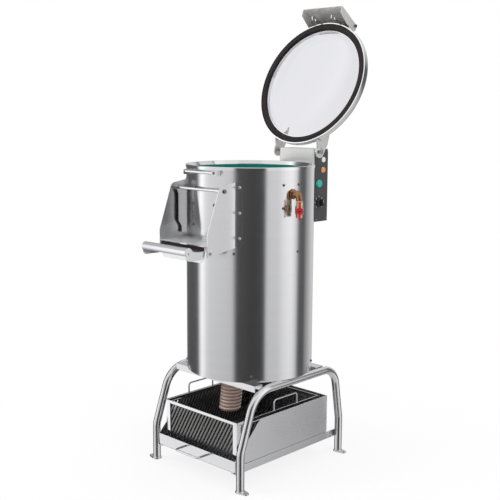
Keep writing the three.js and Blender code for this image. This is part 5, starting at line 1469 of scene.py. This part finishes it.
def basket_frame():
    """Two hoops of flat bar, and an angle post at each corner."""
    half, front, rear, wall = BASKET_HALF, BASKET_FRONT, BASKET_REAR, BAR_WALL
    pieces = []
    for low, high in ((BASKET_LOW, BASKET_LOW + BAR_TALL), (BASKET_TOP - BAR_TALL, BASKET_TOP)):
        for y in (front, rear - wall):
            pieces.append(box("hoop", spot(-half, y, low), spot(half, y + wall, high)))
        for x in (-half, half - wall):
            pieces.append(box("hoop", spot(x, front + wall, low), spot(x + wall, rear - wall, high)))
    angle = [(0, 0), (POST_WIDE, 0), (POST_WIDE, wall), (wall, wall), (wall, POST_WIDE), (0, POST_WIDE)]
    for side in (-1, 1):
        for y, inward in ((front, 1), (rear, -1)):
            corners = [spot(side * (half - a), y + inward * b, BASKET_LOW + BAR_TALL) for a, b in angle]
            pieces.append(plate("post", corners, (BASKET_TOP - BASKET_LOW - 2 * BAR_TALL) * mm * Z))
    return together("angle_frame", pieces)


def grab(x, y):
    """A wire handle that stands on the upper hoop, with a weld at each end."""
    base, top = BASKET_TOP - 0.5, BASKET_TOP + 40
    ends = (y - GRAB_HALF, y + GRAB_HALF)
    near, far = ends
    corners = [(x, near, base), (x, near, top), (x, far, top), (x, far, base)]
    wire = wire_loop("grab", corners, 12, 3)
    return [wire] + [weld_bead(spot(x, end, BASKET_TOP), 3, 1.2) for end in ends]


frame_pieces = [basket_frame()] + grab(BASKET_HALF - 1.5, 1) + grab(1.5 - BASKET_HALF, -81)
basket = together("basket_frame_and_grabs", frame_pieces)
settle(basket, "basket", POLISHED_STEEL, "basket_frame")

# %% Basket mesh
STRAND_STEP = 14.3
SLOT_LENGTH = 310
STRAND = 6.8
SIDE_STRAND = 9.2
MESH_WALL = 1.2


def mesh_sheet(name, wide, tall, strand):
    """A flat mesh in X and Y around the origin, in mm, its slots leaning at 60 degrees."""
    across = int((wide + tall) / STRAND_STEP) + 1
    size = across * STRAND_STEP
    piece = started(name, bpy.ops.mesh.primitive_grid_add, x_subdivisions=across,
                    y_subdivisions=int(size / SLOT_LENGTH), size=size * mm)
    edit(piece)
    bpy.ops.transform.rotate(value=math.radians(30), orient_axis="Z", center_override=(0, 0, 0))
    for x, y in ((1, 0), (-1, 0), (0, 1), (0, -1)):
        bpy.ops.mesh.select_all(action="SELECT")
        bpy.ops.mesh.bisect(plane_co=(x * wide / 2 * mm, y * tall / 2 * mm, 0), plane_no=(x, y, 0),
                            clear_outer=True)
    bpy.ops.mesh.select_mode(type="FACE")
    bpy.ops.mesh.select_all(action="SELECT")
    bpy.ops.mesh.inset(thickness=strand / 2 * mm, use_individual=True)
    bpy.ops.mesh.delete(type="FACE")
    bpy.ops.mesh.select_all(action="SELECT")
    bpy.ops.mesh.remove_doubles(threshold=0.005 * mm)
    done()
    return apply(piece, "SOLIDIFY", thickness=MESH_WALL * mm, offset=0)


def lay_mesh(node, turn_to, strand=STRAND):
    """A mesh sheet in the place of a flat node, whose thin side is the only one under 5 mm."""
    low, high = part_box(node)
    wide, tall = [(b - a) / mm for a, b in zip(low, high) if b - a > 5 * mm]
    piece = mesh_sheet(node + "_holes", wide, tall, strand)
    piece.data.transform(Matrix.Translation((low + high) / 2) @ turn_to)
    settle(piece, "basket", MESH_STEEL, node)
    print(node, "has", len(piece.data.polygons), "faces")


UPRIGHT = Matrix.Rotation(math.pi / 2, 4, "X")
SIDEWAYS = Matrix.Rotation(math.pi / 2, 4, "Z") @ Matrix.Rotation(math.pi / 2, 4, "X")
lay_mesh("basket_front_mesh", UPRIGHT)
lay_mesh("basket_rear_mesh", UPRIGHT)
lay_mesh("basket_left_mesh", SIDEWAYS, SIDE_STRAND)
lay_mesh("basket_right_mesh", SIDEWAYS, SIDE_STRAND)
lay_mesh("basket_floor_mesh", Matrix.Identity(4))

# %% [markdown]
# ## Bolts
# One bolt is modelled well and copied wherever the real machine has one: a washer, a rounded
# head and a socket. Copies on one body are joined into one piece.

# %% Bolts
def bolt(radius):
    washer = [(0, 0), (radius * 1.35, 0), (radius * 1.35, 0.9), (radius * 1.25, 1.2), (0, 1.2)]
    head = [(0, 1.0), (radius, 1.0), (radius, 2.4), (radius * 0.85, 3.8), (radius * 0.55, 4.6),
            (radius * 0.4, 4.7), (radius * 0.4, 2.4), (0, 2.4)]
    origin = Vector((0, 0, 0))
    return [turned("washer", washer, origin, 32), turned("head", head, origin, 32)]


def bolts(name, body, places, radius, material=BOLT_STEEL):
    """Copies of the bolt at each place, standing off along each way."""
    model = together("bolt_model", bolt(radius))
    copies = []
    for place, way in places:
        lay = Z.rotation_difference(way).to_matrix().to_4x4()
        copies.append(copied(model, Matrix.Translation(place) @ lay))
    bpy.data.objects.remove(model)
    return settle(together(name, copies), body, material)


def around(angles, heights, out):
    """Places on the drum's face, and the ways out of it, for every angle at every height."""
    return [(on_drum(angle, z, out), off_drum(angle)) for angle in angles for z in heights]


SHELL_BOLTS = [(45.6, 388), (30.3, 835), (73.4, 1077), (90, 1077), (73, 995), (90, 835), (121, 397),
               (-45.6, 388), (-121, 397), (-75, 835), (160, 835), (-160, 835)]
shell_places = [(on_drum(angle, z, 0.1), off_drum(angle)) for angle, z in SHELL_BOLTS]
bolts("shell_bolts", "root", shell_places, 3.8, DARK_STEEL)
wing_places = around((-35.4, 35.4), (1071, 981, 891), 2.9)
bolts("wing_bolts", "root", wing_places, 4.5, POLISHED_STEEL)
bolts("tray_bolts", "root", [(spot(side * 126.3, -328, 849), side * X) for side in (1, -1)], 4.5)
door_places = around((-13, 13), (ROD_Z - 54, ROD_Z - 130), 5.9)
bolts("door_bolts", "door", door_places, 4.6, DARK_STEEL)
front, back = extent("control_panel", "y")
low = extent("control_panel", "z")[0]
bolts("panel_screws", "root", [(spot(PANEL_X, y, low + 9), X) for y in (front + 8, back - 8)], 2.6)
left, right = extent("housing_back_cover", "x")
back = extent("housing_back_cover", "y")[1]
low, high = extent("housing_back_cover", "z")
bolts("cover_screws", "root", [
    (spot(x, back, z), Y) for x in (left + 10, right - 10)
    for z in (low + 12, (low + high) / 2, high - 12)], 3.0)
front = extent("front_cross_beam", "y")[0]
bolts("beam_bolts", "root", [(spot(45, front, midway("front_cross_beam", "z")), -Y)], 3.5)
print("bolts placed")

# %% [markdown]
# ## Finishes of the frame's own nodes
# Every node of the frame gets the finish of its slot, so that nothing that stays in the scene is
# left with a plain colour.

# %% Finishes for the nodes
for part in frame["record"]["subparts"]:
    mesh = nodes[part["node"]].data
    mesh.materials.clear()
    mesh.materials.append(FINISHES[part["material_slot"]][0])

# %% [markdown]
# ## Floor and light
# The machine stands on a plain white floor in a white room. Steel only looks like steel when it
# has something dark to reflect, so the room that gloss sees has tall dark screens between white
# walls: that is what draws the upright bands on the drum. The walls get a little darker towards
# their foot, and gloss sees a bright ceiling and a pale floor far below. The camera and clear
# plastic see plain white. Lamps stay soft, and the floor's shadow fades to white further out.

# %% Floor
WHITE = (1, 1, 1)
floor = still(started("studio_floor", bpy.ops.mesh.primitive_plane_add, size=14, location=(0, 0, 0)))
floor_finish, tree, shader, place = blank_finish("white_floor", (0.95, 0.95, 0.95), 0.0, 0.7)
glow = add_node(tree, "ShaderNodeEmission", Color=shade(WHITE), Strength=1.0).outputs["Emission"]
away = add_node(tree, "ShaderNodeVectorMath", place, operation="LENGTH").outputs["Value"]
seen = add_node(tree, "ShaderNodeLightPath").outputs["Is Camera Ray"]
share = maths(tree, "MULTIPLY", seen, ranged(tree, away, 0.8, 1.0, 0.45, 1.3))
mix = add_node(tree, "ShaderNodeMixShader", share, shader.outputs["BSDF"], glow)
fill_in(tree, tree.nodes["Material Output"], Surface=mix.outputs["Shader"])
floor.data.materials.append(floor_finish)
floor.visible_glossy = False

# %% Room
CAMERA_SIDE = -math.pi / 2 + CAMERA_AROUND
SCREENS = [
    (-180, 0.60), (-165, 0.30), (-150, 0.13), (-125, 0.12), (-108, 0.14), (-102, 0.95), (-97, 1.60),
    (-91, 1.35), (-84, 1.00), (-75, 0.90), (-36, 0.80), (-31, 0.76), (-24, 0.09), (-8, 0.085),
    (0, 0.07), (25, 0.075), (30, 0.84), (50, 0.84), (66, 1.12), (80, 1.22), (90, 0.90), (98, 0.14),
    (113, 0.12), (122, 0.40), (145, 0.80), (180, 0.60)]
CEILING = (0.45, 0.85, 0.95)
FAR_FLOOR = (-0.5, -0.72, 0.62)
OTHER_RAYS = 0.62


def room():
    """Screens around the camera's side for gloss, white for the camera, grey for all other rays."""
    world = bpy.data.worlds.new("white_room")
    bpy.context.scene.world = world
    world.use_nodes = True
    tree = world.node_tree
    place = add_node(tree, "ShaderNodeTexCoord").outputs["Generated"]
    axes = add_node(tree, "ShaderNodeSeparateXYZ", place).outputs
    turn = maths(tree, "ARCTAN2", axes["Y"], axes["X"])
    share = maths(tree, "DIVIDE", maths(tree, "SUBTRACT", turn, CAMERA_SIDE - math.pi), 2 * math.pi)
    ramp = add_node(tree, "ShaderNodeValToRGB", maths(tree, "FRACT", share))
    stops = ramp.color_ramp.elements
    while len(stops) > 1:
        stops.remove(stops[-1])
    for index, (angle, level) in enumerate(SCREENS):
        stop = stops[0] if index == 0 else stops.new((angle + 180) / 360)
        stop.position = (angle + 180) / 360
        stop.color = (level, level, level * 1.01, 1)
    foot = ranged(tree, axes["Z"], 0.8, 1.0, -0.3, -0.06)
    walls = add_node(tree, "ShaderNodeVectorMath", ramp.outputs["Color"], operation="SCALE", Scale=foot)
    gloss = walls.outputs["Vector"]
    for start, full, level in (CEILING, FAR_FLOOR):
        gloss = blended(tree, ranged(tree, axes["Z"], 0.0, 1.0, start, full), gloss, shade(WHITE, level))
    path = add_node(tree, "ShaderNodeLightPath").outputs
    shown = blended(tree, path["Is Glossy Ray"], shade(WHITE, OTHER_RAYS), gloss)
    either = maths(tree, "MAXIMUM", path["Is Camera Ray"], path["Is Transmission Ray"])
    fill_in(tree, tree.nodes["Background"], Color=blended(tree, either, shown, shade(WHITE)))


room()

# %% Lamps
LAMPS_AIM = Vector((0, 0, 0.7))


def soft_lamp(name, place, size, power):
    light = started(name, bpy.ops.object.light_add, type="AREA", location=place)
    light.data.size = size
    light.data.energy = power
    light.visible_glossy = False
    light.visible_transmission = False
    light.rotation_euler = (LAMPS_AIM - light.location).to_track_quat("-Z", "Y").to_euler()


soft_lamp("key_light", (-2.2, -2.6, 3.2), 2.2, 55)
soft_lamp("fill_light", (3.4, -0.6, 2.4), 2.4, 35)
soft_lamp("top_light", (0.3, 0.4, 4.0), 2.6, 45)
bpy.context.scene.view_settings.view_transform = "Standard"
print("room and lamps are ready")
